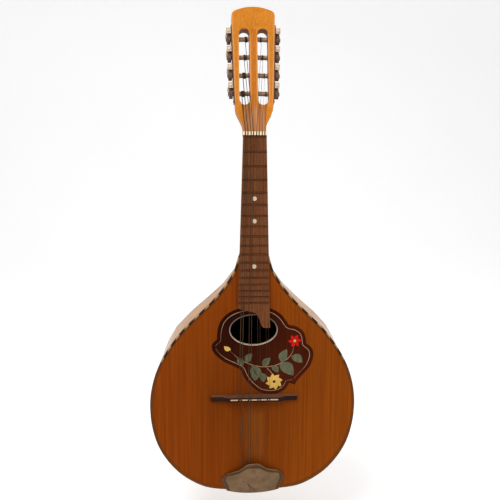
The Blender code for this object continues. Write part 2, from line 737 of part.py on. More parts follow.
def pickguard_outline():
    """The pickguard's lobed outline round the soundhole: smooth arcs that meet in cusps, brought to its width."""
    arcs = (
        ((-46.3, -12.5), (-45.4, 0), (-41.5, 12), (-32, 22), (-17, 28.5), (2, 31), (20, 28.2), (34, 20.5),
         (45.3, 5.8)),
        ((45.3, 5.8), (55.5, 3.3), (63.5, -3), (66.8, -12), (67.4, -18.5)),
        ((67.4, -18.5), (74.8, -25), (77, -35), (72.5, -49), (62, -61.5), (56.5, -68), (54.4, -73)),
        ((54.4, -73), (50.4, -72.3), (46.5, -70.6)),
        ((46.5, -70.6), (41, -79.5), (31, -84.7), (20, -85.5), (7, -82), (-6, -70.5), (-13, -59.5),
         (-15.6, -52.6)),
        ((-15.6, -52.6), (-24, -48), (-38, -41), (-49, -31), (-53, -22.5), (-51, -16), (-46.3, -12.5)),
    )
    outline = np.vstack([smooth_curve(arc, 3 * len(arc))[:-1] for arc in arcs])
    return np.array([0, SOUNDHOLE_PLACE]) + outline * PICKGUARD_WIDTH / np.ptp(outline[:, 0])


def rim_line(distance, top):
    """The rim moved inwards by a distance, from a height on the treble side round the tail to the bass side."""
    half = half_rim(RIM_POINT_COUNT)
    line = np.vstack([half, (half * (-1, 1))[::-1][1:]])
    along = np.gradient(line, axis=0)
    along /= np.linalg.norm(along, axis=1, keepdims=True)
    line = line + np.stack([along[:, 1], -along[:, 0]], axis=1) * distance
    line = line[line[:, 1] < top - FIT] if distance else line[1:-1]
    first, second = line[0], line[1]
    start = first + (second - first) * (top - first[1]) / (second[1] - first[1])
    return np.vstack([start, line, start * (-1, 1)])


def rim_strip(outside, width, top):
    """A band along the rim: its outer edge at one distance from the rim, and its inner edge a width further."""
    return np.vstack([rim_line(outside, top), rim_line(outside + width, top)[::-1]])


def make_soundboard(shop):
    board_edge = rim_line(BINDING_WIDTH + FIT, BODY_TOP - FIT)
    hole = ellipse(SOUNDHOLE_HALF_WIDTH + FIT, SOUNDHOLE_HALF_HEIGHT + FIT, 40)
    board = shop.place(
        "soundboard", plate_mesh("soundboard", [board_edge, hole], 0, SOUNDBOARD_THICKNESS), "spruce"
    )
    guard = pickguard_outline()
    recess = plate_mesh("recess", [inset(guard, -FIT)], -1 * MM, PICKGUARD_THICKNESS + FIT)
    add_boolean(board, "DIFFERENCE", shop.cutter("pickguard_recess", recess))
    shop.place("pickguard", plate_mesh("pickguard", [guard, hole], 0, PICKGUARD_THICKNESS), "dark_inlay")
    outer = ellipse(SOUNDHOLE_HALF_WIDTH, SOUNDHOLE_HALF_HEIGHT, 40)
    inner = ellipse(SOUNDHOLE_HALF_WIDTH - RING_WIDTH, SOUNDHOLE_HALF_HEIGHT - RING_WIDTH, 40)
    shop.place(
        "soundhole_ring",
        plate_mesh("soundhole_ring", [outer, inner], -min(RING_PROUD, 0.5 * FIT), SOUNDBOARD_THICKNESS),
        "bone",
    )


def make_binding(shop):
    strip = rim_strip(0, BINDING_WIDTH, BODY_TOP - FIT)
    shop.place("edge_binding", plate_mesh("edge_binding", [strip], 0, SOUNDBOARD_THICKNESS), "binding")


def rib_stations():
    """Heights of the ribs' sections, closer together towards the tail, where the bowl turns sharply."""
    share = np.linspace(0, 1, RIB_STATION_COUNT + 1)[:-1]
    return BODY_TOP - FIT - (BODY_LENGTH - FIT) * np.sin(share * math.pi / 2)


def rib_corner(stations, turn, gap, thickness):
    """The outer and inner corner lines of a rib at a turn, moved round the bowl by a gap."""
    line = np.full_like(stations, turn)
    reach = np.linalg.norm(bowl_point(stations, line + 0.01) - bowl_point(stations, line - 0.01), axis=1) / 0.02
    at_rim = turn < 0.01 or turn > math.pi - 0.01
    outer = bowl_point(stations, line if at_rim else line + gap / reach)
    inwards = -bowl_normal(stations, line)
    if at_rim:
        inwards[:, 1] = 0
        inwards /= np.linalg.norm(inwards, axis=1, keepdims=True)
    return outer, outer + inwards * thickness


def make_ribs(shop):
    stations = rib_stations()
    turns = np.linspace(0, math.pi, RIB_COUNT + 1)
    for number, (turn, following) in enumerate(zip(turns, turns[1:]), 1):
        outer, inner = rib_corner(stations, turn, 0.5 * FIT, RIB_THICKNESS)
        next_outer, next_inner = rib_corner(stations, following, -0.5 * FIT, RIB_THICKNESS)
        rings = np.stack([outer, next_outer, next_inner, inner], axis=1)
        shop.place(f"rib_{number}", loft_mesh(f"rib_{number}", rings), "maple")


def slice_radius(depth, angle):
    """Distance from the bowl's middle line to its face in a slice at a depth, at angles from the tail."""
    centre = BODY_TOP - WIDEST_PLACE * BODY_LENGTH
    lower_back = BACK[int(np.argmax(BACK[:, 0])):][::-1]
    end = np.interp(depth - RIM_PLANE, lower_back[:, 0], lower_back[:, 1])
    start = centre + TAIL_ZONE * BODY_LENGTH
    heights = end + (start - end) * np.linspace(1, 0, DENSE_POINT_COUNT) ** 2
    share = np.clip((depth - RIM_PLANE) / np.maximum(bowl_half_depth(heights), 1e-9), 0, 1)
    turn = np.arcsin(share ** (1 / DEPTH_FULLNESS))
    points = bowl_point(heights, turn)
    angles = np.arctan2(points[:, 0], centre - points[:, 2])
    radii = np.hypot(points[:, 0], centre - points[:, 2])
    order = np.argsort(angles)
    return centre, np.interp(np.abs(angle), angles[order], radii[order])


def make_clasp(shop):
    """The band of wood bent round the tail end over the ribs' tips."""
    angles = np.linspace(-CLASP_SPREAD, CLASP_SPREAD, 23)
    fall = CLASP_END_DEPTH + (CLASP_DEPTH - CLASP_END_DEPTH) * np.cos(angles / CLASP_SPREAD * math.pi / 2)
    rows = []
    for share in (0, 0.08, 0.25, 0.45, 0.65, 0.85, 1):
        row = []
        for angle, deepest in zip(angles, fall):
            depth = FIT + (deepest - FIT) * share
            centre, radius = slice_radius(max(depth, RIM_PLANE), angle)
            radius += CLASP_OFF_RIBS
            row.append((radius * math.sin(angle), depth, centre - radius * math.cos(angle)))
        rows.append(row)
    clasp = shop.place("end_clasp", sheet_mesh("end_clasp", rows), "rosewood")
    wall = clasp.modifiers.new("wall", "SOLIDIFY")
    wall.thickness = CLASP_THICKNESS
    wall.offset = -1


def make_lining(shop):
    """The strip under the soundboard's edge, from the neck block round the tail and back."""
    top = BODY_TOP - FIT - BLOCK_LENGTH - FIT
    strip = rim_strip(RIB_THICKNESS + LINING_OFF_RIB, LINING_WIDTH, top)
    shop.place(
        "rim_lining", plate_mesh("rim_lining", [strip], RIM_PLANE, RIM_PLANE + LINING_DEPTH), "inner_wood"
    )


def make_blocks(shop):
    """The neck block and the tail block: boxes trimmed to the inside of the bowl."""
    stations = rib_stations()
    turns = np.linspace(0, math.pi, RIB_COUNT + 1)
    inside = np.stack([rib_corner(stations, turn, 0, RIB_THICKNESS + BLOCK_OFF_RIB)[1] for turn in turns], axis=1)
    start, end = BODY_TOP - FIT, BODY_TOP - FIT - BLOCK_LENGTH
    blocks = {
        "neck_block": ((-BODY_WIDTH / 2, RIM_PLANE, end), (BODY_WIDTH / 2, BOWL_DEPTH, start)),
        "tail_block": (
            (-TAIL_BLOCK_WIDTH / 2, RIM_PLANE + LINING_DEPTH + FIT, TAIL - RIB_THICKNESS),
            (TAIL_BLOCK_WIDTH / 2, TAIL_BLOCK_DEPTH, TAIL + TAIL_BLOCK_LENGTH),
        ),
    }
    for name, (low, high) in blocks.items():
        block = shop.place(name, box_mesh(name, low, high), "inner_wood")
        bowl = shop.cutter(f"{name}_bowl", loft_mesh(f"{name}_bowl", inside))
        add_boolean(block, "INTERSECT", bowl)


def make_braces(shop):
    hole_top = SOUNDHOLE_PLACE + SOUNDHOLE_HALF_HEIGHT
    hole_bottom = SOUNDHOLE_PLACE - SOUNDHOLE_HALF_HEIGHT
    middles = {
        "upper_brace": hole_top + UPPER_BRACE_ABOVE_HOLE,
        "lower_brace": hole_bottom - LOWER_BRACE_BELOW_HOLE,
    }
    for name, z in middles.items():
        narrowest = min(float(rim_half_width(z + BRACE_WIDTH / 2)), float(rim_half_width(z - BRACE_WIDTH / 2)))
        half = narrowest - RIB_THICKNESS - LINING_OFF_RIB - LINING_WIDTH - BRACE_OFF_LINING
        shop.place(
            name,
            box_mesh(name, (-half, RIM_PLANE, z - BRACE_WIDTH / 2),
                     (half, RIM_PLANE + BRACE_DEPTH, z + BRACE_WIDTH / 2)),
            "inner_wood",
        )


def bridge_height(x):
    """The bridge's height along its length: full in the middle, low in the wings."""
    fall = (abs(x) - BRIDGE_CENTRE_LENGTH / 2) / BRIDGE_SLOPE_LENGTH
    fall = min(max(fall, 0.0), 1.0)
    return BRIDGE_HEIGHT + (BRIDGE_WING_HEIGHT - BRIDGE_HEIGHT) * fall


def make_bridge(shop):
    half = BRIDGE_LENGTH / 2
    knee = BRIDGE_CENTRE_LENGTH / 2
    rings = []
    for x in (-half, -knee - BRIDGE_SLOPE_LENGTH, -knee, knee, knee + BRIDGE_SLOPE_LENGTH, half):
        top = -FIT - bridge_height(x)
        middle = SADDLE_PLACE
        rings.append([
            (x, -FIT, middle - BRIDGE_FOOT / 2), (x, -FIT, middle + BRIDGE_FOOT / 2),
            (x, top, middle + BRIDGE_TOP / 2), (x, top, middle - BRIDGE_TOP / 2),
        ])
    bridge = shop.place("bridge", loft_mesh("bridge", rings), "bridge_wood", matrix=BRIDGE_MOVE)
    top = -FIT - BRIDGE_HEIGHT
    groove_half = SADDLE_LENGTH / 2 + FIT
    groove = box_mesh(
        "saddle_slot", (-groove_half, top - 1 * MM, SADDLE_PLACE - SADDLE_THICKNESS / 2 - FIT),
        (groove_half, top + SADDLE_SLOT_DEPTH, SADDLE_PLACE + SADDLE_THICKNESS / 2 + FIT),
    )
    add_boolean(bridge, "DIFFERENCE", shop.cutter("saddle_slot", groove, matrix=BRIDGE_MOVE))
    saddle = shop.place(
        "saddle",
        box_mesh("saddle", (-SADDLE_LENGTH / 2, top - SADDLE_PROUD, SADDLE_PLACE - SADDLE_THICKNESS / 2),
                 (SADDLE_LENGTH / 2, top + SADDLE_SLOT_DEPTH - FIT, SADDLE_PLACE + SADDLE_THICKNESS / 2)),
        "bone", matrix=BRIDGE_MOVE,
    )
    edge = saddle.modifiers.new("edge", "BEVEL")
    edge.width = SADDLE_EDGE
    edge.segments = 1


def make_tailpiece(shop):
    half = TAILPIECE_WIDTH / 2
    front = -FIT - TAILPIECE_THICKNESS
    tailpiece = shop.place(
        "tailpiece",
        box_mesh("tailpiece", (-half, front, TAIL_FACE - TAILPIECE_THICKNESS),
                 (half, -FIT, TAIL + TAILPIECE_REACH)),
        "aged_nickel",
    )

    def additions(shape):
        box_into(
            shape, (-half, front, TAIL_FACE - TAILPIECE_THICKNESS), (half, TAILPIECE_DROP, TAIL_FACE)
        )
        z = TAIL + HOOKS_FROM_TAIL
        for _, course, twin, _ in string_names():
            x = course * COURSE_AT_HOOKS + twin * PAIR_AT_HOOKS
            box_into(
                shape, (x - HOOK_SIZE / 2, front - HOOK_HEIGHT, z - HOOK_SIZE),
                (x + HOOK_SIZE / 2, front + 0.5 * TAILPIECE_THICKNESS, z),
            )

    add_boolean(tailpiece, "UNION", shop.cutter("tailpiece_hooks", mesh_of("tailpiece_hooks", additions)))


def make_cover(shop):
    """The pressed cover: arched across, with a raised field inside its flange and a skirt over the tail."""
    across = np.array([-1, -0.86, -0.80, -0.6, -0.4, -0.2, 0, 0.2, 0.4, 0.6, 0.80, 0.86, 1])
    down = np.array([0, 0.15, 0.21, 0.4, 0.55, 0.7, 0.83, 0.93, 1.0])
    field_across = (np.abs(across) < 0.83)[None, :]
    field_down = ((down > 0.18) * np.clip((1 - down) / 0.3, 0, 1))[:, None]
    mouth_half = COVER_MOUTH_WIDTH / 2
    mouth_drop = smooth_curve([(0, 0), (0.2, 0.01), (0.35, 0.078), (0.49, 0.155), (0.73, 0.213), (1, 0.28)], 60)
    mouth = TAIL + COVER_REACH * (1 - np.interp(np.abs(across), mouth_drop[:, 0], mouth_drop[:, 1]))
    widths = smooth_curve([(0, 0), (0.15, 0.7), (0.35, 1), (0.6, 1), (0.85, 0.6), (1, 0.1)], 60)
    share = np.interp(down, widths[:, 0], widths[:, 1])
    half = mouth_half + (COVER_WIDTH / 2 - mouth_half) * share
    x = half[:, None] * across[None, :]
    rise = tail_edge(TAILPIECE_WIDTH / 2) - TAIL
    end = tail_edge(x[-1]) - (TAIL - TAIL_FACE) - rise - TAILPIECE_THICKNESS - FIT - COVER_THICKNESS
    z = mouth[None, :] + (end - mouth)[None, :] * down[:, None]
    arch = np.maximum(0, 1 - across**2) ** 0.75
    crowns = smooth_curve([(0, 1), (0.25, 0.97), (0.5, 0.83), (0.75, 0.5), (0.92, 0.16), (1, 0)], 60)
    crown = COVER_CROWN_AT_TAIL + (COVER_CROWN - COVER_CROWN_AT_TAIL) * np.interp(down, crowns[:, 0], crowns[:, 1])
    y = -(FIT + COVER_THICKNESS + crown[:, None] * arch[None, :] + COVER_FIELD_RAISED * field_across * field_down)
    top = np.stack([x, y, z], axis=-1)
    bend = top[-1] + np.array([0, COVER_BEND, -0.5 * COVER_THICKNESS])
    skirt = bend.copy()
    skirt[:, 1] = COVER_SKIRT
    grid = np.concatenate([top, bend[None], skirt[None]])
    cover = shop.place("tailpiece_cover", sheet_mesh("tailpiece_cover", grid), "aged_nickel")
    wall = cover.modifiers.new("wall", "SOLIDIFY")
    wall.thickness = COVER_THICKNESS
    wall.offset = 1


def make_plate(shop, side):
    sign = SIDES[side]
    last = (ROLLERS_PER_SIDE - 1) * ROLLER_PITCH
    middle = sign * HEAD_THICKNESS / 2
    half = PLATE_WIDTH / 2
    upper = last + WORM_CENTRES + PLATE_PAST_WORM
    plate = shop.place(
        f"{side}_tuner_plate",
        box_mesh(f"{side}_plate", (FIT, middle - half, -PLATE_PAST_ROLLER),
                 (FIT + PLATE_THICKNESS, middle + half, upper)),
        "tuner_metal", shop.sides[side],
    )
    reach = worm_out() + TAB_WIDTH / 2 - TAB_INSIDE_WORM_EDGE

    def tabs(shape):
        for along in roller_heights():
            for end in (-1, 1):
                edge = middle + end * half
                inner = edge - end * TAB_THICKNESS
                box_into(
                    shape,
                    (FIT + 0.5 * PLATE_THICKNESS, min(edge, inner), along + WORM_CENTRES - TAB_WIDTH / 2),
                    (reach, max(edge, inner), along + WORM_CENTRES + TAB_WIDTH / 2),
                )

    def bores(shape):
        for along in roller_heights():
            depth = sign * ROLLER_DEPTH
            cylinder_into(shape, (-FIT, depth, along), (FIT + 2 * PLATE_THICKNESS, depth, along), SPINDLE_BORE)
            cylinder_into(
                shape, (worm_out(), middle - HEAD_THICKNESS, along + WORM_CENTRES),
                (worm_out(), middle + HEAD_THICKNESS, along + WORM_CENTRES), WORM_SHAFT_BORE,
            )

    parent = shop.sides[side]
    add_boolean(plate, "UNION", shop.cutter(f"{side}_tabs", mesh_of(f"{side}_tabs", tabs), parent))
    add_boolean(plate, "DIFFERENCE", shop.cutter(f"{side}_pins", mesh_of(f"{side}_pins", bores), parent))


def gear_inner():
    """Distance of the gear wheel's inner face from the head's side."""
    return FIT + PLATE_THICKNESS + GEAR_OFF_PLATE


def worm_out():
    """Distance of the worm's axis from the head's side: the middle of the gear, clear of the plate."""
    return max(gear_inner() + GEAR_THICKNESS / 2, FIT + PLATE_THICKNESS + WORM_RADIUS + FIT)


def make_roller(shop, side, number, along):
    """A roller with its spindle, gear wheel and screw head, turned about the side frame's x."""
    bar = side_distance(SLOT_INNER, along)
    wall = side_distance(SLOT_INNER + SLOT_WIDTH, along)
    inner = bar - SPINDLE_IN_BAR
    gear = gear_inner()
    outer = gear + GEAR_THICKNESS
    profile = [
        (0, outer + SCREW_HEAD), (0.6 * GEAR_HUB_RADIUS, outer + SCREW_HEAD),
        (GEAR_HUB_RADIUS, outer + 0.5 * SCREW_HEAD), (GEAR_HUB_RADIUS, FIT + PLATE_THICKNESS + FIT),
        (SPINDLE_RADIUS, FIT + PLATE_THICKNESS + FIT), (SPINDLE_RADIUS, wall - ROLLER_END_PLAY),
        (ROLLER_RADIUS, wall - ROLLER_END_PLAY), (ROLLER_RADIUS, bar + ROLLER_END_PLAY),
        (SPINDLE_RADIUS, bar + ROLLER_END_PLAY), (SPINDLE_RADIUS, inner), (0, inner),
    ]
    axis = shop.empty(
        f"{side}_roller_axis_{number}", shop.sides[side],
        Matrix.Translation((0, SIDES[side] * ROLLER_DEPTH, along)) @ Matrix.Rotation(math.pi / 2, 4, "Y"),
    )
    name = f"{side}_roller_{number}"
    roller = shop.place(name, turned_mesh(name, profile), "tuner_metal", axis)
    add_turning(roller)

    def wheel(shape):
        verts = cylinder_into(shape, (0, 0, gear), (0, 0, outer), GEAR_RADIUS, 2 * GEAR_TEETH)
        for vert in verts:
            step = round(math.atan2(vert.co.y, vert.co.x) / (math.pi / GEAR_TEETH))
            if step % 2:
                vert.co.xy *= (GEAR_RADIUS - GEAR_TOOTH) / GEAR_RADIUS

    add_boolean(roller, "UNION", shop.cutter(f"{name}_wheel", mesh_of(f"{name}_wheel", wheel), axis))


def make_worm(shop, side, number, along):
    """The worm shaft in the plate's tabs, turned about the head's depth, and the button behind the head."""
    sign = SIDES[side]
    front = (HEAD_THICKNESS - PLATE_WIDTH) / 2
    back = front + PLATE_WIDTH
    back_of_button = HEAD_THICKNESS + BUTTON_BEHIND_HEAD
    shaft_end = back_of_button + 0.3 * BUTTON_LENGTH
    profile = [
        (0, shaft_end), (WORM_SHAFT_RADIUS, shaft_end), (WORM_SHAFT_RADIUS, back - TAB_THICKNESS - FIT),
        (WORM_RADIUS, back - TAB_THICKNESS - FIT), (WORM_RADIUS, front + TAB_THICKNESS + FIT),
        (WORM_SHAFT_RADIUS, front + TAB_THICKNESS + FIT), (WORM_SHAFT_RADIUS, front - FIT),
        (1.6 * WORM_SHAFT_RADIUS, front - FIT), (1.2 * WORM_SHAFT_RADIUS, front - 4 * FIT), (0, front - 4 * FIT),
    ]
    axis = shop.empty(
        f"{side}_worm_axis_{number}", shop.sides[side],
        Matrix.Translation((worm_out(), 0, along + WORM_CENTRES)) @ Matrix.Rotation(-sign * math.pi / 2, 4, "X"),
    )
    name = f"{side}_worm_{number}"
    add_turning(shop.place(name, turned_mesh(name, profile), "tuner_metal", axis))
    bore = (WORM_SHAFT_RADIUS + FIT) / BUTTON_FLATNESS
    radius = BUTTON_WIDTH / 2
    near, far = back_of_button, back_of_button + BUTTON_LENGTH
    shape = [
        (0, far), (0.55 * radius, far - 0.04 * BUTTON_LENGTH), (0.9 * radius, far - 0.2 * BUTTON_LENGTH),
        (radius, far - 0.45 * BUTTON_LENGTH), (0.9 * radius, near + 0.22 * BUTTON_LENGTH),
        (1.25 * bore, near), (bore, near), (bore, shaft_end + FIT), (0, shaft_end + FIT),
    ]
    name = f"{side}_button_{number}"
    flatten = Matrix.Diagonal((BUTTON_FLATNESS, 1, 1, 1))
    add_turning(shop.place(name, turned_mesh(name, shape), "cream_plastic", axis, flatten), BUTTON_STEP_COUNT)


def string_at_winding(side_matrix, sign, along, nut_point, place_x, radius):
    """Points of a string's turns on its roller, from the free end to where it leaves for the nut.

    In the side frame the roller's axis runs along x. The string leaves on the tangent that faces the
    head's front, and the turns run towards the head's middle.
    """
    nut = side_matrix.inverted() @ nut_point
    coil = ROLLER_RADIUS + STRING_CLEAR + radius
    to_nut = np.array([nut.z - along, sign * nut.y - ROLLER_DEPTH])
    leave = math.atan2(to_nut[1], to_nut[0]) + math.acos(coil / np.hypot(*to_nut))
    pitch = 2 * radius + WINDING_GAP
    start = side_distance(place_x, along)
    points = []
    for step in range(WINDING_TURNS * WINDING_POINTS_PER_TURN, -1, -1):
        turned = 2 * math.pi * step / WINDING_POINTS_PER_TURN
        angle = leave + turned
        points.append(side_matrix @ Vector((
            start - pitch * turned / (2 * math.pi),
            sign * (ROLLER_DEPTH + coil * math.sin(angle)),
            along + coil * math.cos(angle),
        )))
    return points


def least_gap(points, diameter):
    """The least gap between a tube's own turns, measured on points closely spaced along it."""
    dense = evenly_spaced(np.array(points), DENSE_POINT_COUNT)
    step = np.linalg.norm(dense[1] - dense[0])
    place = np.arange(DENSE_POINT_COUNT)
    apart = np.abs(np.subtract.outer(place, place)) * step > math.pi * ROLLER_RADIUS
    distances = np.linalg.norm(dense[:, None] - dense[None], axis=2)
    return float(distances[apart].min()) - diameter


def make_strings(shop):
    gaps = []
    rear_of_nut = FINGERBOARD_START + FIT + NUT_THICKNESS
    saddle_top = -FIT - BRIDGE_HEIGHT - SADDLE_PROUD
    for index, (name, course, twin, letter) in enumerate(string_names()):
        radius = STRING_DIAMETERS[letter] / 2
        side = "bass" if course < 0 else "treble"
        sign = SIDES[side]
        # The outermost string of each side goes to the roller nearest the nut.
        number = index if side == "bass" else 2 * ROLLERS_PER_SIDE - 1 - index
        along = roller_heights()[number]
        over_fret = FRET_TOP - STRING_CLEAR - radius
        nut_x = course * COURSE_AT_NUT + twin * PAIR_AT_NUT
        hook_x = course * COURSE_AT_HOOKS + twin * PAIR_AT_HOOKS
        saddle_x = BRIDGE_OFF_MIDDLE + course * COURSE_AT_SADDLE + twin * PAIR_AT_SADDLE
        nut_point = Vector((nut_x, over_fret, rear_of_nut))
        place_x = SLOT_INNER + SLOT_WIDTH * (WINDING_PLACE - WINDING_STEP_IN * number)
        frame = HEAD_FRAME @ side_in_head(side)
        points = string_at_winding(frame, sign, along, nut_point, place_x, radius)
        gaps.append(least_gap([*points, nut_point], 2 * radius))
        hook_z = TAIL + HOOKS_FROM_TAIL + STRING_CLEAR
        hook_y = -FIT - TAILPIECE_THICKNESS - STRING_AT_HOOK
        points += [
            nut_point, Vector((nut_x, over_fret, 0)),
            Vector((saddle_x, saddle_top - STRING_CLEAR - radius, SADDLE_PLACE)),
            Vector((hook_x, hook_y, hook_z)),
        ]
        curve = bpy.data.curves.new(name, "CURVE")
        curve.dimensions = "3D"
        curve.bevel_depth = radius
        curve.bevel_resolution = 1
        curve.use_fill_caps = True
        spline = curve.splines.new("POLY")
        spline.points.add(len(points) - 1)
        for point, place in zip(spline.points, points):
            point.co = (*place, 1)
        shop.place(name, curve, "string_wound" if letter in WOUND_COURSES else "string_steel")
    print(f"least gap between the strings' turns: {min(gaps) / MM:.2f} mm")


def smooth_round_pieces(shop):
    """Every piece is shaded smooth, with the edges of its flat faces kept sharp."""
    for obj in shop.parts.objects:
        if obj.type == "MESH" and obj.data.polygons:
            obj.data.shade_smooth()
            obj.data.set_sharp_from_angle(angle=SMOOTH_UP_TO)


def main():
    shop = Workshop()
    make_neck_and_head(shop)
    make_nut(shop)
    make_fingerboard(shop)
    make_soundboard(shop)
    make_binding(shop)
    make_ribs(shop)
    make_clasp(shop)
    make_lining(shop)
    make_blocks(shop)
    make_braces(shop)
    make_bridge(shop)
    make_tailpiece(shop)
    make_cover(shop)
    for side in SIDES:
        make_plate(shop, side)
        for number, along in enumerate(roller_heights(), 1):
            make_roller(shop, side, number, along)
            make_worm(shop, side, number, along)
    make_strings(shop)
    smooth_round_pieces(shop)


main()
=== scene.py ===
"""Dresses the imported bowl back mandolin: its fine pieces, its finishes, the camera and the light.

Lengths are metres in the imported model's frame: +Z up the neck, -Y out of the soundboard, +X the treble side.
Places on the instrument are given from the zero fret, in the plane of the soundboard's front.
"""

from __future__ import annotations

import logging
import math
from dataclasses import dataclass, field
from enum import Enum
from functools import cache

import bmesh
import bpy
import numpy as np
from mathutils import Matrix, Vector


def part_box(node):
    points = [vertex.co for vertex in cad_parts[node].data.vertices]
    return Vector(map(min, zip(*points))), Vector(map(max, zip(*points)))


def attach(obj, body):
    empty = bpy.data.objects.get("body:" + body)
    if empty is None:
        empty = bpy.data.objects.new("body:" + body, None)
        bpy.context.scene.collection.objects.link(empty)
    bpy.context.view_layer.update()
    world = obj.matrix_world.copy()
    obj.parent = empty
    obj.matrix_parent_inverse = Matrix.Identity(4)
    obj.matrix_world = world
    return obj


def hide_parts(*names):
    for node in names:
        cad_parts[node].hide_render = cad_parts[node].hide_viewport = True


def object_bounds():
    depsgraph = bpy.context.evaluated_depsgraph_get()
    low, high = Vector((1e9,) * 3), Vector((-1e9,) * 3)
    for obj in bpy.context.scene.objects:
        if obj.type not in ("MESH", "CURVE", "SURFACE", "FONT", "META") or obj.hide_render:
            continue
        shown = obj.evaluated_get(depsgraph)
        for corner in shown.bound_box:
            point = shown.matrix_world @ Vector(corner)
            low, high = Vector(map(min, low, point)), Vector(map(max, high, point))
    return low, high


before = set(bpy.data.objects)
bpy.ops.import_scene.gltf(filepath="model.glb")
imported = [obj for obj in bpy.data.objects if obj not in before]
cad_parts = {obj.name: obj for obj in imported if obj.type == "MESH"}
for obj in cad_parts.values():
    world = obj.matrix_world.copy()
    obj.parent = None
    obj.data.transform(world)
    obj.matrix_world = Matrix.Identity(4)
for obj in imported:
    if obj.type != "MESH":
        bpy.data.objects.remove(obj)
CAD_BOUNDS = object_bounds()

LOG = logging.getLogger("mandolin")
MM = 0.001
INSTRUMENT = "instrument"
COVER = "cover"


class Side(Enum):
    """The two sides of the instrument, with the sign of their x."""

    BASS = -1
    TREBLE = 1

    @property
    def word(self) -> str:
        """The side's name as the nodes spell it."""
        return self.name.lower()


@dataclass(frozen=True)
class Layout:
    """Where the instrument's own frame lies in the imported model."""

    board_front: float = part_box("soundboard")[0].y
    zero_fret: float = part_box("nut")[0].z - 1.5 * MM
    scale_length: float = 330 * MM
    head_tilt: float = math.radians(15)
    head_step: float = 1.6 * MM
    head_start: float = 6.3 * MM

    def at(self, x: float, y: float, z: float) -> Vector:
        """A place measured from the zero fret on the soundboard's plane.

        Args:
            x: Distance towards the treble side.
            y: Distance behind the soundboard's front.
            z: Height above the zero fret.

        Returns:
            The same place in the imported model's frame.
        """
        return Vector((x, y + self.board_front, z + self.zero_fret))

    def shift(self) -> np.ndarray:
        """The move from the instrument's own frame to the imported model's."""
        return np.array([0.0, self.board_front, self.zero_fret])

    def fret(self, number: float) -> float:
        """Height of a fret, below the zero fret."""
        return -self.scale_length * (1 - 2 ** (-number / 12))

    def head(self) -> Matrix:
        """The head's own frame: x across, y through its depth, z up from the nut."""
        origin = self.at(0, self.head_step, self.head_start)
        return Matrix.Translation(origin) @ Matrix.Rotation(-self.head_tilt, 4, "X")


LAYOUT = Layout()


@dataclass(frozen=True)
class HeadSides:
    """The head's two sides and the places of the tuning machines on them."""

    half: float = 23.9 * MM
    flare: float = math.radians(1.8)
    thickness: float = 15 * MM
    slot_inner: float = 4.9 * MM
    slot_width: float = 13 * MM
    roller_from_nut: float = 48.2 * MM
    roller_pitch: float = 23 * MM
    roller_depth: float = 7.5 * MM
    roller_radius: float = 3.0 * MM
    count: int = 4

    def frame(self, side: Side) -> Matrix:
        """A side's own frame: x outwards, z up the side from its first roller, y through the head's depth."""
        sign = side.value
        outwards = Vector((sign * math.cos(self.flare), 0, -math.sin(self.flare)))
        upwards = Vector((sign * math.sin(self.flare), 0, math.cos(self.flare)))
        spun = Matrix((outwards, upwards.cross(outwards), upwards)).transposed().to_4x4()
        return LAYOUT.head() @ Matrix.Translation((sign * self.half, 0, self.roller_from_nut)) @ spun

    def distance(self, x: float, along: float) -> float:
        """Distance outwards from the side of a place x from the head's middle, at a height along the side."""
        return (x - self.half - along * math.sin(self.flare)) / math.cos(self.flare)

    def cross_axis(self, side: Side, along: float) -> Matrix:
        """The frame of a roller, whose z points outwards."""
        place = Matrix.Translation((0, side.value * self.roller_depth, along))
        return self.frame(side) @ place @ Matrix.Rotation(math.pi / 2, 4, "Y")

    def depth_axis(self, side: Side, out: float, along: float) -> Matrix:
        """The frame of a worm, whose z points to the head's back."""
        place = Matrix.Translation((out, 0, along))
        return self.frame(side) @ place @ Matrix.Rotation(-side.value * math.pi / 2, 4, "X")


HEAD_SIDES = HeadSides()


def smooth_curve(points: list[tuple[float, ...]] | np.ndarray, count: int) -> np.ndarray:
    """A Catmull-Rom curve through points.

    Args:
        points: The points that the curve passes through.
        count: How many points the result has, evenly spaced along it.

    Returns:
        An array of count points.
    """
    given = np.array(points, float)
    padded = np.vstack([2 * given[0] - given[1], given, 2 * given[-1] - given[-2]])
    steps = np.linspace(0, 1, 24, endpoint=False)[:, None]
    pieces = [
        0.5 * (2 * b + (c - a) * steps + (2 * a - 5 * b + 4 * c - d) * steps**2
               + (3 * b - a - 3 * c + d) * steps**3)
        for a, b, c, d in zip(padded, padded[1:], padded[2:], padded[3:])
    ]
    return evenly_spaced(np.vstack([*pieces, given[-1:]]), count)


def evenly_spaced(line: np.ndarray, count: int) -> np.ndarray:
    """Points at even distances along a line of points.

    Args:
        line: The line's points.
        count: How many points the result has.

    Returns:
        An array of count points.
    """
    lengths = np.concatenate([[0], np.cumsum(np.linalg.norm(np.diff(line, axis=0), axis=1))])
    wanted = np.linspace(0, lengths[-1], count)
    return np.stack([np.interp(wanted, lengths, column) for column in line.T], axis=1)


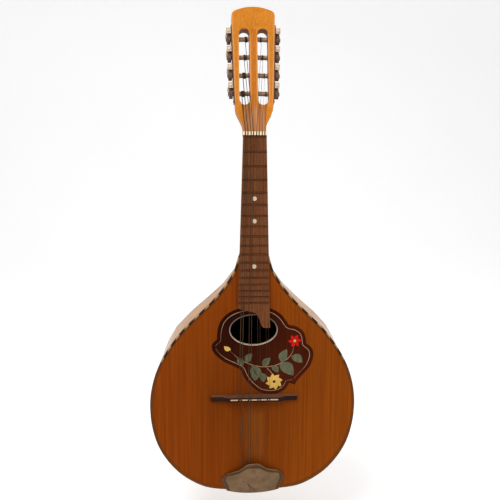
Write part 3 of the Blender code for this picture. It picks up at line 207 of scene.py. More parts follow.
class NodeTree:
    """A material's nodes, added and wired by name."""

    def __init__(self, name: str) -> None:
        self.material = bpy.data.materials.new(name)
        self.material.use_nodes = True
        self.nodes = self.material.node_tree.nodes
        self.links = self.material.node_tree.links
        self.shader = self.nodes["Principled BSDF"]

    @classmethod
    def of(cls, node_tree: bpy.types.NodeTree) -> NodeTree:
        """The same tools for a tree that is already there."""
        tree = cls.__new__(cls)
        tree.nodes, tree.links = node_tree.nodes, node_tree.links
        return tree

    @classmethod
    def group(cls, name: str, given: dict[str, str], made: dict[str, str]) -> NodeTree:
        """The tools for a new node group.

        Args:
            name: The group's name.
            given: Its inputs' names, each with the kind of its socket.
            made: Its outputs' names, likewise.

        Returns:
            The tools, with the inner ends of the inputs as given and those of the outputs as result.
        """
        group = bpy.data.node_groups.new(name, "ShaderNodeTree")
        for way, sockets in (("INPUT", given), ("OUTPUT", made)):
            for label, kind in sockets.items():
                group.interface.new_socket(name=label, in_out=way, socket_type=f"NodeSocket{kind}")
        tree = cls.of(group)
        tree.tree = group
        tree.given = tree.add("NodeGroupInput").outputs
        tree.result = tree.add("NodeGroupOutput").inputs
        return tree

    def use(self, group: bpy.types.NodeTree, inputs: dict[str, object]) -> bpy.types.NodeOutputs:
        """Places a group with its own values, and gives its outputs. Colours have three parts."""
        whole = {
            key: (*value, 1.0) if isinstance(value, tuple) and group.nodes.get("Group Input").outputs[key].type == "RGBA"
            else value for key, value in inputs.items()
        }
        return self.add("ShaderNodeGroup", whole, node_tree=group).outputs

    def scaled(self, value: object, factor: object) -> bpy.types.NodeSocket:
        """A vector or colour times a number."""
        return self.add("ShaderNodeVectorMath", {0: value, "Scale": factor}, operation="SCALE").outputs["Vector"]

    def stretched(self, where: object, scale: object) -> bpy.types.NodeSocket:
        """A place times a scale of three parts."""
        return self.add("ShaderNodeMapping", {"Vector": where, "Scale": scale}).outputs["Vector"]

    def seen(self) -> bpy.types.NodeSocket:
        """1 where a surface is seen by the camera, in a mirror or through glass, and 0 where it lights others."""
        path = self.add("ShaderNodeLightPath").outputs
        direct = self.math("ADD", path["Is Camera Ray"], path["Is Glossy Ray"])
        return self.math("MINIMUM", self.math("ADD", direct, path["Is Transmission Ray"]), 1.0)

    def add(self, kind: str, inputs: dict | None = None, **settings: object) -> bpy.types.Node:
        """Adds a node.

        Args:
            kind: The node's type.
            inputs: Values or sockets for its inputs, by name or by number.
            settings: The node's own properties.

        Returns:
            The new node.
        """
        node = self.nodes.new(kind)
        for key, value in settings.items():
            setattr(node, key, value)
        for key, value in (inputs or {}).items():
            self.feed(node.inputs[key], value)
        return node

    def feed(self, socket: bpy.types.NodeSocket, value: object) -> None:
        """Sets an input's value, or wires an output to it."""
        if isinstance(value, bpy.types.NodeSocket):
            self.links.new(value, socket)
        else:
            socket.default_value = value

    def place(self, scale: tuple[float, float, float]) -> bpy.types.NodeSocket:
        """The piece's own coordinates in metres, stretched by a scale."""
        own = self.add("ShaderNodeTexCoord").outputs["Object"]
        return self.add("ShaderNodeMapping", {"Vector": own, "Scale": scale}).outputs["Vector"]

    def noise(self, where: bpy.types.NodeSocket, scale: float, detail: float = 4.0) -> bpy.types.NodeSocket:
        """Soft noise from 0 to 1."""
        inputs = {"Vector": where, "Scale": scale, "Detail": detail}
        return self.add("ShaderNodeTexNoise", inputs).outputs["Fac"]

    def ramp(self, value: bpy.types.NodeSocket, stops: list[tuple[float, tuple]]) -> bpy.types.NodeSocket:
        """Colours along a value, given as place and colour."""
        node = self.add("ShaderNodeValToRGB", {"Fac": value})
        elements = node.color_ramp.elements
        while len(elements) < len(stops):
            elements.new(0.5)
        for element, (place, colour) in zip(elements, stops):
            element.position = place
            element.color = (*colour[:3], 1.0)
        return node.outputs["Color"]

    def span(self, value: bpy.types.NodeSocket, low: float, high: float, to_low: float = 0.0,
             to_high: float = 1.0) -> bpy.types.NodeSocket:
        """A value moved from one range to another, and kept inside it."""
        inputs = {"Value": value, "From Min": low, "From Max": high, "To Min": to_low, "To Max": to_high}
        return self.add("ShaderNodeMapRange", inputs).outputs["Result"]

    def math(self, operation: str, *values: object) -> bpy.types.NodeSocket:
        """One arithmetic step."""
        return self.add("ShaderNodeMath", dict(enumerate(values)), operation=operation).outputs["Value"]

    def mix(self, factor: object, first: object, second: object, blend: str = "MIX") -> bpy.types.NodeSocket:
        """Two colours mixed by a factor."""
        node = self.add("ShaderNodeMix", data_type="RGBA", blend_type=blend)
        for name, value in (("Factor_Float", factor), ("A_Color", first), ("B_Color", second)):
            socket = next(item for item in node.inputs if item.identifier == name)
            colour = (*value[:3], 1.0) if isinstance(value, tuple) else value
            self.feed(socket, colour)
        return next(item for item in node.outputs if item.identifier == "Result_Color")

    def vector(self, operation: str, *values: object, out: str = "Vector") -> bpy.types.NodeSocket:
        """One step of vector arithmetic."""
        return self.add("ShaderNodeVectorMath", dict(enumerate(values)), operation=operation).outputs[out]

    def axis(self, where: bpy.types.NodeSocket, name: str) -> bpy.types.NodeSocket:
        """One part of a vector, by its letter."""
        return self.add("ShaderNodeSeparateXYZ", {"Vector": where}).outputs[name]

    def from_line(self, where: bpy.types.NodeSocket, start: Vector, end: Vector) -> bpy.types.NodeSocket:
        """Distance from the line between two places, seen along y."""
        flat = self.vector("MULTIPLY", where, (1.0, 0.0, 1.0))
        away = self.vector("SUBTRACT", flat, (start.x, 0.0, start.z))
        reach = Vector((end.x - start.x, 0.0, end.z - start.z))
        share = self.math("DIVIDE", self.vector("DOT_PRODUCT", away, tuple(reach), out="Value"), reach.length_squared)
        kept = self.span(share, 0.0, 1.0)
        foot = self.add("ShaderNodeVectorMath", {0: tuple(reach), "Scale": kept}, operation="SCALE").outputs["Vector"]
        return self.vector("DISTANCE", away, foot, out="Value")

    def bump(self, height: bpy.types.NodeSocket, strength: float, distance: float) -> bpy.types.NodeSocket:
        """A bump normal from a height between 0 and 1."""
        inputs = {"Height": height, "Strength": strength, "Distance": distance}
        return self.add("ShaderNodeBump", inputs).outputs["Normal"]

    def finish(self, **inputs: object) -> bpy.types.Material:
        """Sets the shader's sockets and returns the material. Underscores stand for spaces."""
        for key, value in inputs.items():
            socket = self.shader.inputs[key.replace("_", " ")]
            colour = isinstance(value, tuple) and len(value) == 3
            self.feed(socket, (*value, 1.0) if colour else value)
        return self.material


@cache
def wood_grain() -> bpy.types.NodeTree:
    """The grain that every wood shares, as a group.

    Two noises stretched along the grain, the finer one at three tenths of the width, are blended 0.7 to 0.3 and
    lead from the dark colour to the light one. A broader noise lightens and darkens it, and a third one,
    cut off at a level, leaves the pores.
    """
    tree = NodeTree.group(
        "wood_grain",
        {"Where": "Vector", "Light": "Color", "Dark": "Color", "Lines": "Vector", "Broad": "Vector",
         "Pore Size": "Vector", "Figure": "Float", "Pores": "Float"},
        {"Colour": "Color", "Height": "Float", "Figure": "Float"},
    )
    given = tree.given
    lines = tree.noise(tree.stretched(given["Where"], given["Lines"]), 1.0, 3.0)
    wide = tree.noise(tree.stretched(given["Where"], given["Broad"]), 1.0, 2.0)
    fine = tree.noise(tree.stretched(given["Where"], tree.scaled(given["Lines"], 1 / 0.3)), 1.0, 2.0)
    blend = tree.math("ADD", tree.math("MULTIPLY", lines, 0.7), tree.math("MULTIPLY", fine, 0.3))
    colour = tree.mix(tree.span(blend, 0.36, 0.62), given["Dark"], given["Light"])
    shade = tree.span(wide, 0.3, 0.7, tree.math("SUBTRACT", 1.0, given["Figure"]),
                      tree.math("ADD", 1.0, given["Figure"]))
    colour = tree.mix(0.15, tree.scaled(colour, shade), tree.mix(0.5, given["Light"], given["Dark"]))
    holes = tree.noise(tree.stretched(given["Where"], given["Pore Size"]), 1.0, 1.0)
    mask = tree.math("MULTIPLY", tree.span(holes, 0.62, 0.68), given["Pores"])
    tree.feed(tree.result["Colour"], tree.mix(mask, colour, tree.scaled(given["Dark"], 0.25)))
    tree.feed(tree.result["Height"], blend)
    tree.feed(tree.result["Figure"], wide)
    return tree.tree


@cache
def cloudy() -> bpy.types.NodeTree:
    """Clouds of two colours and a finer scuff, as a group: a soft noise leads from one colour to the other."""
    tree = NodeTree.group(
        "cloudy",
        {"Where": "Vector", "Stretch": "Vector", "Light": "Color", "Dark": "Color", "Fineness": "Float",
         "Detail": "Float", "From": "Float", "To": "Float"},
        {"Colour": "Color", "Cloud": "Float", "Scuff": "Float"},
    )
    given = tree.given
    inputs = {"Vector": tree.stretched(given["Where"], given["Stretch"]), "Scale": given["Fineness"],
              "Detail": given["Detail"]}
    cloud = tree.add("ShaderNodeTexNoise", inputs).outputs["Fac"]
    long = tree.stretched(given["Where"], (1.0, 1.0, 0.2))
    scuff = tree.noise(long, tree.math("DIVIDE", given["Fineness"], 0.12), 3.0)
    share = tree.span(cloud, given["From"], given["To"])
    tree.feed(tree.result["Colour"], tree.mix(share, given["Dark"], given["Light"]))
    tree.feed(tree.result["Cloud"], cloud)
    tree.feed(tree.result["Scuff"], scuff)
    return tree.tree


@dataclass(frozen=True)
class Wood:
    """A varnished wood with grain along one axis."""

    name: str
    light: tuple[float, float, float]
    dark: tuple[float, float, float]
    grain_width: float = 1.1 * MM
    stretch: float = 60.0
    figure: float = 0.25
    figure_size: float = 28 * MM
    roughness: float = 0.32
    gloss: float = 0.2
    pores: float = 0.0
    pore_width: float = 0.35 * MM
    along: int = 2

    def scale(self, width: float, stretch: float) -> tuple[float, float, float]:
        """A scale that is fine across the grain and stretched along it."""
        factors = [1 / width] * 3
        factors[self.along] = 1 / (width * stretch)
        return tuple(factors)

    def stain(self, tree: NodeTree, colour: bpy.types.NodeSocket) -> bpy.types.NodeSocket:
        """The colour after whatever a special wood adds to it."""
        return colour

    def make(self) -> bpy.types.Material:
        """The material: fine lines of grain, a broader figure and, in open woods, dark pores."""
        tree = NodeTree(self.name)
        grain = tree.use(wood_grain(), {
            "Where": tree.place((1.0, 1.0, 1.0)), "Light": self.light, "Dark": self.dark,
            "Lines": self.scale(self.grain_width, self.stretch), "Broad": self.scale(self.figure_size, 5.0),
            "Pore Size": self.scale(self.pore_width, 14.0), "Figure": self.figure, "Pores": self.pores,
        })
        rough = tree.span(grain["Figure"], 0.2, 0.8, self.roughness - 0.05, self.roughness + 0.07)
        return tree.finish(
            Base_Color=self.stain(tree, grain["Colour"]), Roughness=rough, Specular_IOR_Level=self.gloss,
            Normal=tree.bump(grain["Height"], 0.25, 0.05 * MM),
        )


@dataclass(frozen=True)
class Soundboard(Wood):
    """Two halves of straight-grained wood: darkest round the bridge, paler to the edge, lighter in a strip under the
    strings.
    """

    redder: tuple[float, float, float] = (0.98, 0.91, 0.80)
    yellower: tuple[float, float, float] = (1.04, 1.06, 1.0)

    def stain(self, tree: NodeTree, colour: bpy.types.NodeSocket) -> bpy.types.NodeSocket:
        """Adds the broad stripes of the two halves, the paler edge, a painted shadow below the bridge, the lighter
        strip and its dark lines.
        """
        own = tree.place((1.0, 1.0, 1.0))
        centre = LAYOUT.at(-6 * MM, 0, -330 * MM)
        away = tree.vector("DISTANCE", tree.vector("MULTIPLY", own, (1.0, 0.0, 0.8)),
                           (centre.x, 0.0, 0.8 * centre.z), out="Value")
        paler = tree.span(away, 20 * MM, 135 * MM, 0.86, 1.16)
        stripes = tree.noise(tree.place((1 / (3 * MM), 0.0, 0.9)), 1.0, 2.0)
        shade = tree.math("MULTIPLY", paler, tree.span(stripes, 0.3, 0.7, 0.92, 1.08))
        height = tree.axis(own, "Z")
        x = tree.axis(own, "X")
        bridge_low, bridge_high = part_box("bridge")
        # Painted shadow: a band just below the bridge, across the bridge's width, is darkened as the bridge's shadow.
        below = tree.math("MULTIPLY", tree.span(height, bridge_low.z - 9 * MM, bridge_low.z - 1 * MM),
                          tree.span(height, bridge_low.z, bridge_low.z + 2 * MM, 1.0, 0.0))
        bridge_shadow_strength = tree.span(tree.math("ABSOLUTE", x), bridge_high.x - 12 * MM, bridge_high.x, 0.16, 0.0)
        shade = tree.math("MULTIPLY", shade, tree.math("SUBTRACT", 1.0, tree.math("MULTIPLY", below, bridge_shadow_strength)))
        shaded = tree.scaled(colour, shade)
        low, high = LAYOUT.at(0, 0, -425 * MM).z, LAYOUT.at(0, 0, -345 * MM).z
        tint = tree.mix(tree.span(x, -30 * MM, 60 * MM), self.redder, self.yellower)
        shaded = tree.vector("MULTIPLY", shaded, tint)
        # A lighter strip runs down the middle between the bridge and the tailpiece.
        strip = tree.span(tree.math("ABSOLUTE", tree.math("SUBTRACT", x, 2 * MM)), 9 * MM, 15 * MM, 1.0, 0.0)
        lighter = tree.math("MULTIPLY", strip, tree.math("MULTIPLY", tree.span(height, low, low + 15 * MM),
                                                      tree.span(height, high - 12 * MM, high, 1.0, 0.0)))
        shaded = tree.mix(tree.math("MULTIPLY", lighter, 0.55), shaded, (0.27, 0.074, 0.010))
        for place, reach in ((-7.0 * MM, 1.0), (-3.2 * MM, 0.8), (0.0, 0.45), (5.5 * MM, 0.35)):
            line = tree.span(tree.math("ABSOLUTE", tree.math("SUBTRACT", x, place)), 0.12 * MM, 0.45 * MM, 1.0, 0.0)
            below = tree.span(height, high - 6 * MM, high, 1.0, 0.25)
            mark = tree.math("MULTIPLY", tree.math("MULTIPLY", line, below), 0.55 * reach)
            shaded = tree.mix(mark, shaded, (0.045, 0.012, 0.004))
        return shaded


@dataclass(frozen=True)
class Staves(Wood):
    """The bowl's wood: varnished outside, and painted dark inside the bowl as shade."""

    # Painted shade: the colour of the inside of the bowl, where little light reaches.
    inside: tuple[float, float, float] = (0.012, 0.008, 0.006)

    def stain(self, tree: NodeTree, colour: bpy.types.NodeSocket) -> bpy.types.NodeSocket:
        """Adds a faint flame across the staves, and paints shade on the faces that look at the bowl's middle line."""
        flame = tree.noise(tree.place((1 / (70 * MM), 1 / (70 * MM), 1 / (15 * MM))), 1.0, 2.0)
        colour = tree.scaled(colour, tree.span(flame, 0.3, 0.7, 0.965, 1.035))
        middle = (0.0, LAYOUT.board_front, 0.0)
        away = tree.vector("MULTIPLY", tree.vector("SUBTRACT", tree.place((1.0, 1.0, 1.0)), middle), (1.0, 1.0, 0.0))
        normal = tree.add("ShaderNodeNewGeometry").outputs["Normal"]
        outwards = tree.vector("DOT_PRODUCT", tree.vector("NORMALIZE", away), normal, out="Value")
        return tree.mix(tree.span(outwards, -0.35, -0.25, 1.0, 0.0), colour, self.inside)


@dataclass(frozen=True)
class BridgeWood(Wood):
    """Dark wood, with a painted highlight: the slope towards the neck, which faces the light from above, is painted a
    lighter brown.
    """

    # The painted highlight's colour, for faces turned up towards the light.
    lighter: tuple[float, float, float] = (0.150, 0.062, 0.036)

    def stain(self, tree: NodeTree, colour: bpy.types.NodeSocket) -> bpy.types.NodeSocket:
        """Paints the faces that look up the strings a lighter brown, as the light from above falls on them."""
        upwards = tree.axis(tree.add("ShaderNodeNewGeometry").outputs["Normal"], "Z")
        return tree.mix(tree.span(upwards, 0.2, 0.5), colour, self.lighter)


@dataclass(frozen=True)
class GuardWood(Wood):
    """The guard plate's maroon wood, darker towards the neck's bass side."""

    def stain(self, tree: NodeTree, colour: bpy.types.NodeSocket) -> bpy.types.NodeSocket:
        """Darkens the plate along a slanting line."""
        slant = Vector((1.0, 0.0, -1.0)).normalized()
        along = tree.vector("DOT_PRODUCT", tree.place((1.0, 1.0, 1.0)), tuple(slant), out="Value")
        low, high = LAYOUT.at(-40 * MM, 0, -225 * MM).dot(slant), LAYOUT.at(40 * MM, 0, -290 * MM).dot(slant)
        return tree.scaled(colour, tree.span(along, low, high, 0.32, 1.0))


@dataclass(frozen=True)
class HeadWood(Wood):
    """The head's varnished wood: greyer with painted string shadows and highlights where the strings run to the nut,
    with painted highlights along its edges and painted shade inside the slots.
    """

    greyed_with_string_shade: tuple[float, float, float] = (0.55, 0.245, 0.112)
    slot_shade: tuple[float, float, float] = (0.19, 0.042, 0.008)
    # The colour of the painted highlights along the head's edges.
    edge: tuple[float, float, float] = (0.78, 0.37, 0.150)
    middle: tuple[float, float, float] = (0.86, 0.76, 0.85)
    highlight_width: float = 2.4 * MM
    string_way_half: float = 13.6 * MM
    string_way_end: float = 41 * MM
    slots: tuple[float, float] = (30 * MM, 130 * MM)

    def stain(self, tree: NodeTree, colour: bpy.types.NodeSocket) -> bpy.types.NodeSocket:
        """Greys the strings' way with painted streaks of string shadow and light along it, paints highlights on the
        edges and paints shade on the faces inside the slots.
        """
        own = tree.place((1.0, 1.0, 1.0))
        side = tree.math("ABSOLUTE", tree.axis(own, "X"))
        height = tree.axis(own, "Z")
        low, high = (LAYOUT.at(0, 0, z).z for z in self.slots)
        slot_start = HEAD_SIDES.slot_inner
        slot_end = slot_start + HEAD_SIDES.slot_width
        between = tree.math("MULTIPLY", tree.span(height, low, low + 1 * MM),
                            tree.span(height, high, high + 1 * MM, 1.0, 0.0))
        from_slot = tree.math("MINIMUM", tree.math("ABSOLUTE", tree.math("SUBTRACT", side, slot_start)),
                              tree.math("ABSOLUTE", tree.math("SUBTRACT", side, slot_end)))
        # Painted highlights along the slots' edges and the head's sides.
        beside = tree.math("MULTIPLY", tree.span(height, low + 5 * MM, low + 18 * MM),
                           tree.span(height, high - 16 * MM, high - 4 * MM, 1.0, 0.0))
        slot_highlight = tree.math("MULTIPLY", beside, tree.span(from_slot, 0.3 * MM, self.highlight_width, 1.0, 0.0))
        # The head's sides lean outwards from its foot to its top.
        lean = math.tan(HEAD_SIDES.flare) / math.cos(LAYOUT.head_tilt)
        foot = LAYOUT.at(0, 0, 0).z + LAYOUT.head_start + HEAD_SIDES.roller_from_nut * math.cos(LAYOUT.head_tilt)
        reach = tree.span(height, foot, foot + 100 * MM, HEAD_SIDES.half, HEAD_SIDES.half + 100 * MM * lean)
        from_side = tree.math("SUBTRACT", reach, side)
        side_highlight = tree.math("MULTIPLY", tree.span(height, low, low + 20 * MM),
                            tree.span(from_side, 0.3 * MM, self.highlight_width, 1.0, 0.0))
        centre = tree.math("MULTIPLY", between, tree.span(side, 2.4 * MM, slot_start - 0.8 * MM, 1.0, 0.0))
        colour = tree.mix(centre, colour, tree.vector("MULTIPLY", colour, self.middle))
        colour = tree.mix(tree.math("MULTIPLY", tree.math("MAXIMUM", slot_highlight, side_highlight), 0.75), colour, self.edge)
        # Where the strings run to the nut the wood is greyer, and streaks along it are painted shadows and highlights
        # of the strings.
        start, end = LAYOUT.at(0, 0, 2 * MM).z, LAYOUT.at(0, 0, self.string_way_end).z
        across = tree.span(side, self.string_way_half - 1 * MM, self.string_way_half + 1 * MM, 1.0, 0.0)
        up = tree.math("MULTIPLY", tree.span(height, start, start + 1 * MM),
                       tree.span(height, end - 12 * MM, end, 1.0, 0.0))
        streaks = tree.noise(tree.place((1 / (1.3 * MM), 0.0, 1 / (60 * MM))), 1.0, 2.0)
        greyed_with_string_shade = tree.scaled(self.greyed_with_string_shade, tree.span(streaks, 0.35, 0.65, 0.72, 1.18))
        colour = tree.mix(tree.math("MULTIPLY", tree.math("MULTIPLY", across, up), 0.85), colour, greyed_with_string_shade)
        # Painted shade on the faces inside the slots, which get little light.
        normal = tree.add("ShaderNodeNewGeometry").outputs["Normal"]
        front = LAYOUT.head().to_3x3() @ Vector((0, -1, 0))
        facing = tree.math("ABSOLUTE", tree.vector("DOT_PRODUCT", normal, tuple(front), out="Value"))
        middle = tree.span(side, slot_end + 0.5 * MM, slot_end + 1.0 * MM, 1.0, 0.0)
        inside = tree.math("MULTIPLY", tree.math("MULTIPLY", middle, between), tree.span(facing, 0.3, 0.6, 1.0, 0.0))
        return tree.mix(tree.math("MULTIPLY", inside, 0.9), colour, self.slot_shade)


@dataclass(frozen=True)
class Metal:
    """A plated metal, dulled unevenly by age."""

    name: str
    clean: tuple[float, float, float]
    tarnish: tuple[float, float, float]
    patch: float = 9 * MM
    roughness: float = 0.34
    metallic: float = 0.9
    gloss: float = 0.5

    def wear(self, tree: NodeTree, colour: bpy.types.NodeSocket) -> bpy.types.NodeSocket:
        """The colour after whatever a worn piece adds to it."""
        return colour

    def make(self) -> bpy.types.Material:
        """The material: cloudy tarnish, fine scuffs and a roughness that follows them."""
        tree = NodeTree(self.name)
        aged = tree.use(cloudy(), {
            "Where": tree.place((1.0, 1.0, 1.0)), "Stretch": (1.0, 1.0, 1.0), "Light": self.clean,
            "Dark": self.tarnish, "Fineness": 1 / self.patch, "Detail": 5.0, "From": 0.34, "To": 0.66,
        })
        rough = tree.span(aged["Scuff"], 0.25, 0.75, self.roughness - 0.08, self.roughness + 0.14)
        return tree.finish(
            Base_Color=self.wear(tree, aged["Colour"]), Roughness=rough, Metallic=self.metallic,
            Specular_IOR_Level=self.gloss, Normal=tree.bump(aged["Scuff"], 0.12, 0.04 * MM),
        )


@dataclass(frozen=True)
class PlateMetal(Metal):
    """The machines' plates: bright on the tabs that stand out, with painted shade darkening the plate itself beside
    the head.
    """

    stained: tuple[float, float, float] = (0.155, 0.055, 0.028)
    plate_reach: float = 1.5 * MM

    def wear(self, tree: NodeTree, colour: bpy.types.NodeSocket) -> bpy.types.NodeSocket:
        """Paints shade on everything near the head's side."""
        side = HEAD_SIDES.frame(Side.TREBLE)
        both = tree.vector("ABSOLUTE", tree.place((1.0, 1.0, 1.0)))
        own = tree.vector("MULTIPLY", tree.place((1.0, 1.0, 1.0)), (0.0, 1.0, 1.0))
        sideways = tree.vector("MULTIPLY", both, (1.0, 0.0, 0.0))
        away = tree.vector("SUBTRACT", tree.vector("ADD", own, sideways), tuple(side.translation))
        out = tree.vector("DOT_PRODUCT", away, tuple(side.col[0][:3]), out="Value")
        near = tree.span(out, self.plate_reach, self.plate_reach + 0.3 * MM, 1.0, 0.0)
        return tree.mix(near, colour, self.stained)


@dataclass(frozen=True)
class CoverMetal(Metal):
    """The cover's aged plate: a darker flange, a few spots, a crease, and dirt with a painted shadow line in its
    groove.
    """

    dirt_and_shade: tuple[float, float, float] = (0.035, 0.020, 0.012)
    flange: tuple[float, float, float] = (0.085, 0.040, 0.017)
    spots: tuple[tuple[float, float, float], ...] = (
        (-12.0 * MM, -444.5 * MM, 0.9 * MM), (5.5 * MM, -437.5 * MM, 0.5 * MM), (17 * MM, -451 * MM, 0.4 * MM),
    )
    creases: tuple[tuple[float, float, float, float], ...] = (
        (-7.0 * MM, -448 * MM, -2.5 * MM, -457.5 * MM), (-6.2 * MM, -449 * MM, 3.0 * MM, -459.5 * MM),
    )

    def wear(self, tree: NodeTree, colour: bpy.types.NodeSocket) -> bpy.types.NodeSocket:
        """Adds spots, creases, and the flange and the groove's dirt and painted shadow that the piece's own attributes
        hold.
        """
        own = tree.place((1.0, 1.0, 1.0))
        groove = tree.add("ShaderNodeAttribute", attribute_name="groove").outputs["Fac"]
        flange = tree.add("ShaderNodeAttribute", attribute_name="flange").outputs["Fac"]
        colour = tree.mix(tree.math("MULTIPLY", flange, 0.75), colour, self.flange)
        # The groove's mark is dirt together with a painted shadow line at the raised field's edge.
        colour = tree.mix(tree.math("MULTIPLY", groove, 0.7), colour, self.dirt_and_shade)
        for x, z, radius in self.spots:
            spot = LAYOUT.at(x, 0, z)
            mark = tree.span(tree.from_line(own, spot, spot + Vector((0, 0, 0.2 * MM))), 0.6 * radius, radius, 0.85, 0.0)
            colour = tree.mix(mark, colour, self.dirt_and_shade)
        for x1, z1, x2, z2 in self.creases:
            away = tree.from_line(own, LAYOUT.at(x1, 0, z1), LAYOUT.at(x2, 0, z2))
            colour = tree.mix(tree.span(away, 0.25 * MM, 0.7 * MM, 0.75, 0.0), colour, self.dirt_and_shade)
        return colour


@dataclass(frozen=True)
class Cast:
    """Bone, ivoroid or another smooth pale material with a faint cloud in it."""

    name: str
    light: tuple[float, float, float]
    dark: tuple[float, float, float]
    cloud: float = 5 * MM
    roughness: float = 0.35
    gloss: float = 0.3

    def wear(self, tree: NodeTree, colour: bpy.types.NodeSocket) -> bpy.types.NodeSocket:
        """The colour after whatever a worn piece adds to it."""
        return colour

    def make(self) -> bpy.types.Material:
        """The material: a slight cloud of colour under a soft gloss."""
        tree = NodeTree(self.name)
        tint = tree.use(cloudy(), {
            "Where": tree.place((1.0, 1.0, 1.0)), "Stretch": (1.0, 1.0, 0.35), "Light": self.light,
            "Dark": self.dark, "Fineness": 1 / self.cloud, "Detail": 3.0, "From": 0.3, "To": 0.7,
        })
        rough = tree.span(tint["Cloud"], 0.2, 0.8, self.roughness + 0.06, self.roughness - 0.04)
        return tree.finish(
            Base_Color=self.wear(tree, tint["Colour"]), Roughness=rough, Specular_IOR_Level=self.gloss,
            Normal=tree.bump(tint["Cloud"], 0.05, 0.05 * MM),
        )


@dataclass(frozen=True)
class NotchedBone(Cast):
    """The saddle's bone, with painted shade where the piece's own "notch" attribute says."""

    string_shade: tuple[float, float, float] = (0.045, 0.022, 0.014)

    def wear(self, tree: NodeTree, colour: bpy.types.NodeSocket) -> bpy.types.NodeSocket:
        """Paints shade in the notches, where the strings and their shadows lie."""
        notch = tree.add("ShaderNodeAttribute", attribute_name="notch").outputs["Fac"]
        return tree.mix(notch, colour, self.string_shade)


@dataclass(frozen=True)
class GroovedBone(Cast):
    """The nut's bone, with painted shade in the strings' grooves, which lie in pairs at an even pitch."""

    string_shade: tuple[float, float, float] = (0.16, 0.070, 0.032)
    course: float = 6.8 * MM
    pair: float = 3.0 * MM
    groove_half: float = 0.75 * MM

    def wear(self, tree: NodeTree, colour: bpy.types.NodeSocket) -> bpy.types.NodeSocket:
        """Paints shade in the grooves, found by folding x at every half pitch."""
        x = tree.axis(tree.place((1.0, 1.0, 1.0)), "X")
        folded = tree.math("PINGPONG", x, self.course / 2)
        away = tree.math("ABSOLUTE", tree.math("SUBTRACT", folded, (self.course - self.pair) / 2))
        mask = tree.span(away, self.groove_half - 0.15 * MM, self.groove_half + 0.1 * MM, 0.85, 0.0)
        return tree.mix(mask, colour, self.string_shade)


@dataclass(frozen=True)
class RingWood(Cast):
    """The soundhole ring's pale wood, with painted shade darkening it towards the fingerboard."""

    upper_shade: tuple[float, float, float] = (0.12, 0.080, 0.060)

    def wear(self, tree: NodeTree, colour: bpy.types.NodeSocket) -> bpy.types.NodeSocket:
        """Paints shade on the ring, growing from its lower edge to its upper one."""
        low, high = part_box("soundhole_ring")
        start, end = 0.85 * low.z + 0.15 * high.z, 0.3 * low.z + 0.7 * high.z
        share = tree.span(tree.axis(tree.place((1.0, 1.0, 1.0)), "Z"), start, end, 0.0, 0.9)
        return tree.mix(share, colour, self.upper_shade)


@dataclass(frozen=True)
class RopeBinding:
    """The rim's rope pattern: dark slanted lenses on pale wood, with a brown line on its inner side."""

    name: str
    dark: tuple[float, float, float]
    brown: tuple[float, float, float]
    pale: tuple[float, float, float]
    board: tuple[float, float, float] = (0.19, 0.052, 0.008)
    pitch: float = 17.9 * MM
    lens_share: float = 0.68
    slant: float = 4 * MM
    plain_below: float = -285 * MM
    tail_above: float = -435 * MM

    def make(self) -> bpy.types.Material:
        """The material, from the strip's own length and breadth, stored on its points."""
        tree = NodeTree(self.name)
        length = tree.add("ShaderNodeAttribute", attribute_name="rim_length").outputs["Fac"]
        across = tree.add("ShaderNodeAttribute", attribute_name="rim_across").outputs["Fac"]
        shifted = tree.math("ADD", length, tree.math("MULTIPLY", across, self.slant))
        phase = tree.math("FRACT", tree.math("DIVIDE", shifted, self.pitch))
        from_middle = tree.math("ABSOLUTE", tree.math("SUBTRACT", phase, 0.5))
        height = tree.add("ShaderNodeAttribute", attribute_name="rim_height").outputs["Fac"]
        plain = tree.span(height, self.plain_below - 8 * MM, self.plain_below + 8 * MM, 1.0, 0.0)
        round_tail = tree.span(height, self.tail_above, self.tail_above + 30 * MM, 1.0, 0.0)
        edge = tree.mix(tree.span(across, 0.2, 1.0), self.brown, self.board)
        edge = tree.mix(tree.math("MULTIPLY", round_tail, 0.85), edge, self.board)
        # A lens is widest in its middle, where it nearly reaches the inner line.
        along = tree.math("POWER", tree.math("DIVIDE", from_middle, 0.5 * self.lens_share), 4.0)
        reach = tree.math("MULTIPLY", 0.82, tree.math("SUBTRACT", 1.0, along))
        lens = tree.span(tree.math("SUBTRACT", reach, across), -0.03, 0.05)
        grain = tree.noise(tree.place((1.0, 1.0, 1.0)), 1 / (0.8 * MM), 2.0)
        pale = tree.mix(tree.span(grain, 0.3, 0.7), self.pale, tuple(c * 0.85 for c in self.pale))
        rope = tree.mix(lens, tree.mix(tree.span(across, 0.48, 0.62), pale, self.brown), self.dark)
        colour = tree.mix(plain, rope, edge)
        return tree.finish(
            Base_Color=colour, Roughness=0.35, Specular_IOR_Level=0.04, Normal=tree.bump(grain, 0.1, 0.05 * MM),
        )


@dataclass(frozen=True)
class WoundString:
    """A string wrapped in fine wire, whose turns show as close ridges."""

    name: str
    colour: tuple[float, float, float]
    wire: float = 0.22 * MM

    def make(self) -> bpy.types.Material:
        """The material: ridges along the string and the dull shine of old wire."""
        tree = NodeTree(self.name)
        waves = tree.add(
            "ShaderNodeTexWave", {"Vector": tree.place((1.0, 1.0, 1.0)), "Scale": 1 / (self.wire * 20)},
            bands_direction="Z",
        ).outputs["Fac"]
        # The dips between the turns are painted at half the colour, as shade.
        colour = tree.ramp(waves, [(0.1, tuple(c * 0.5 for c in self.colour)), (0.7, self.colour)])
        return tree.finish(
            Base_Color=colour, Roughness=0.55, Metallic=0.1, Specular_IOR_Level=0.1,
            Normal=tree.bump(waves, 0.5, 0.1 * MM),
        )


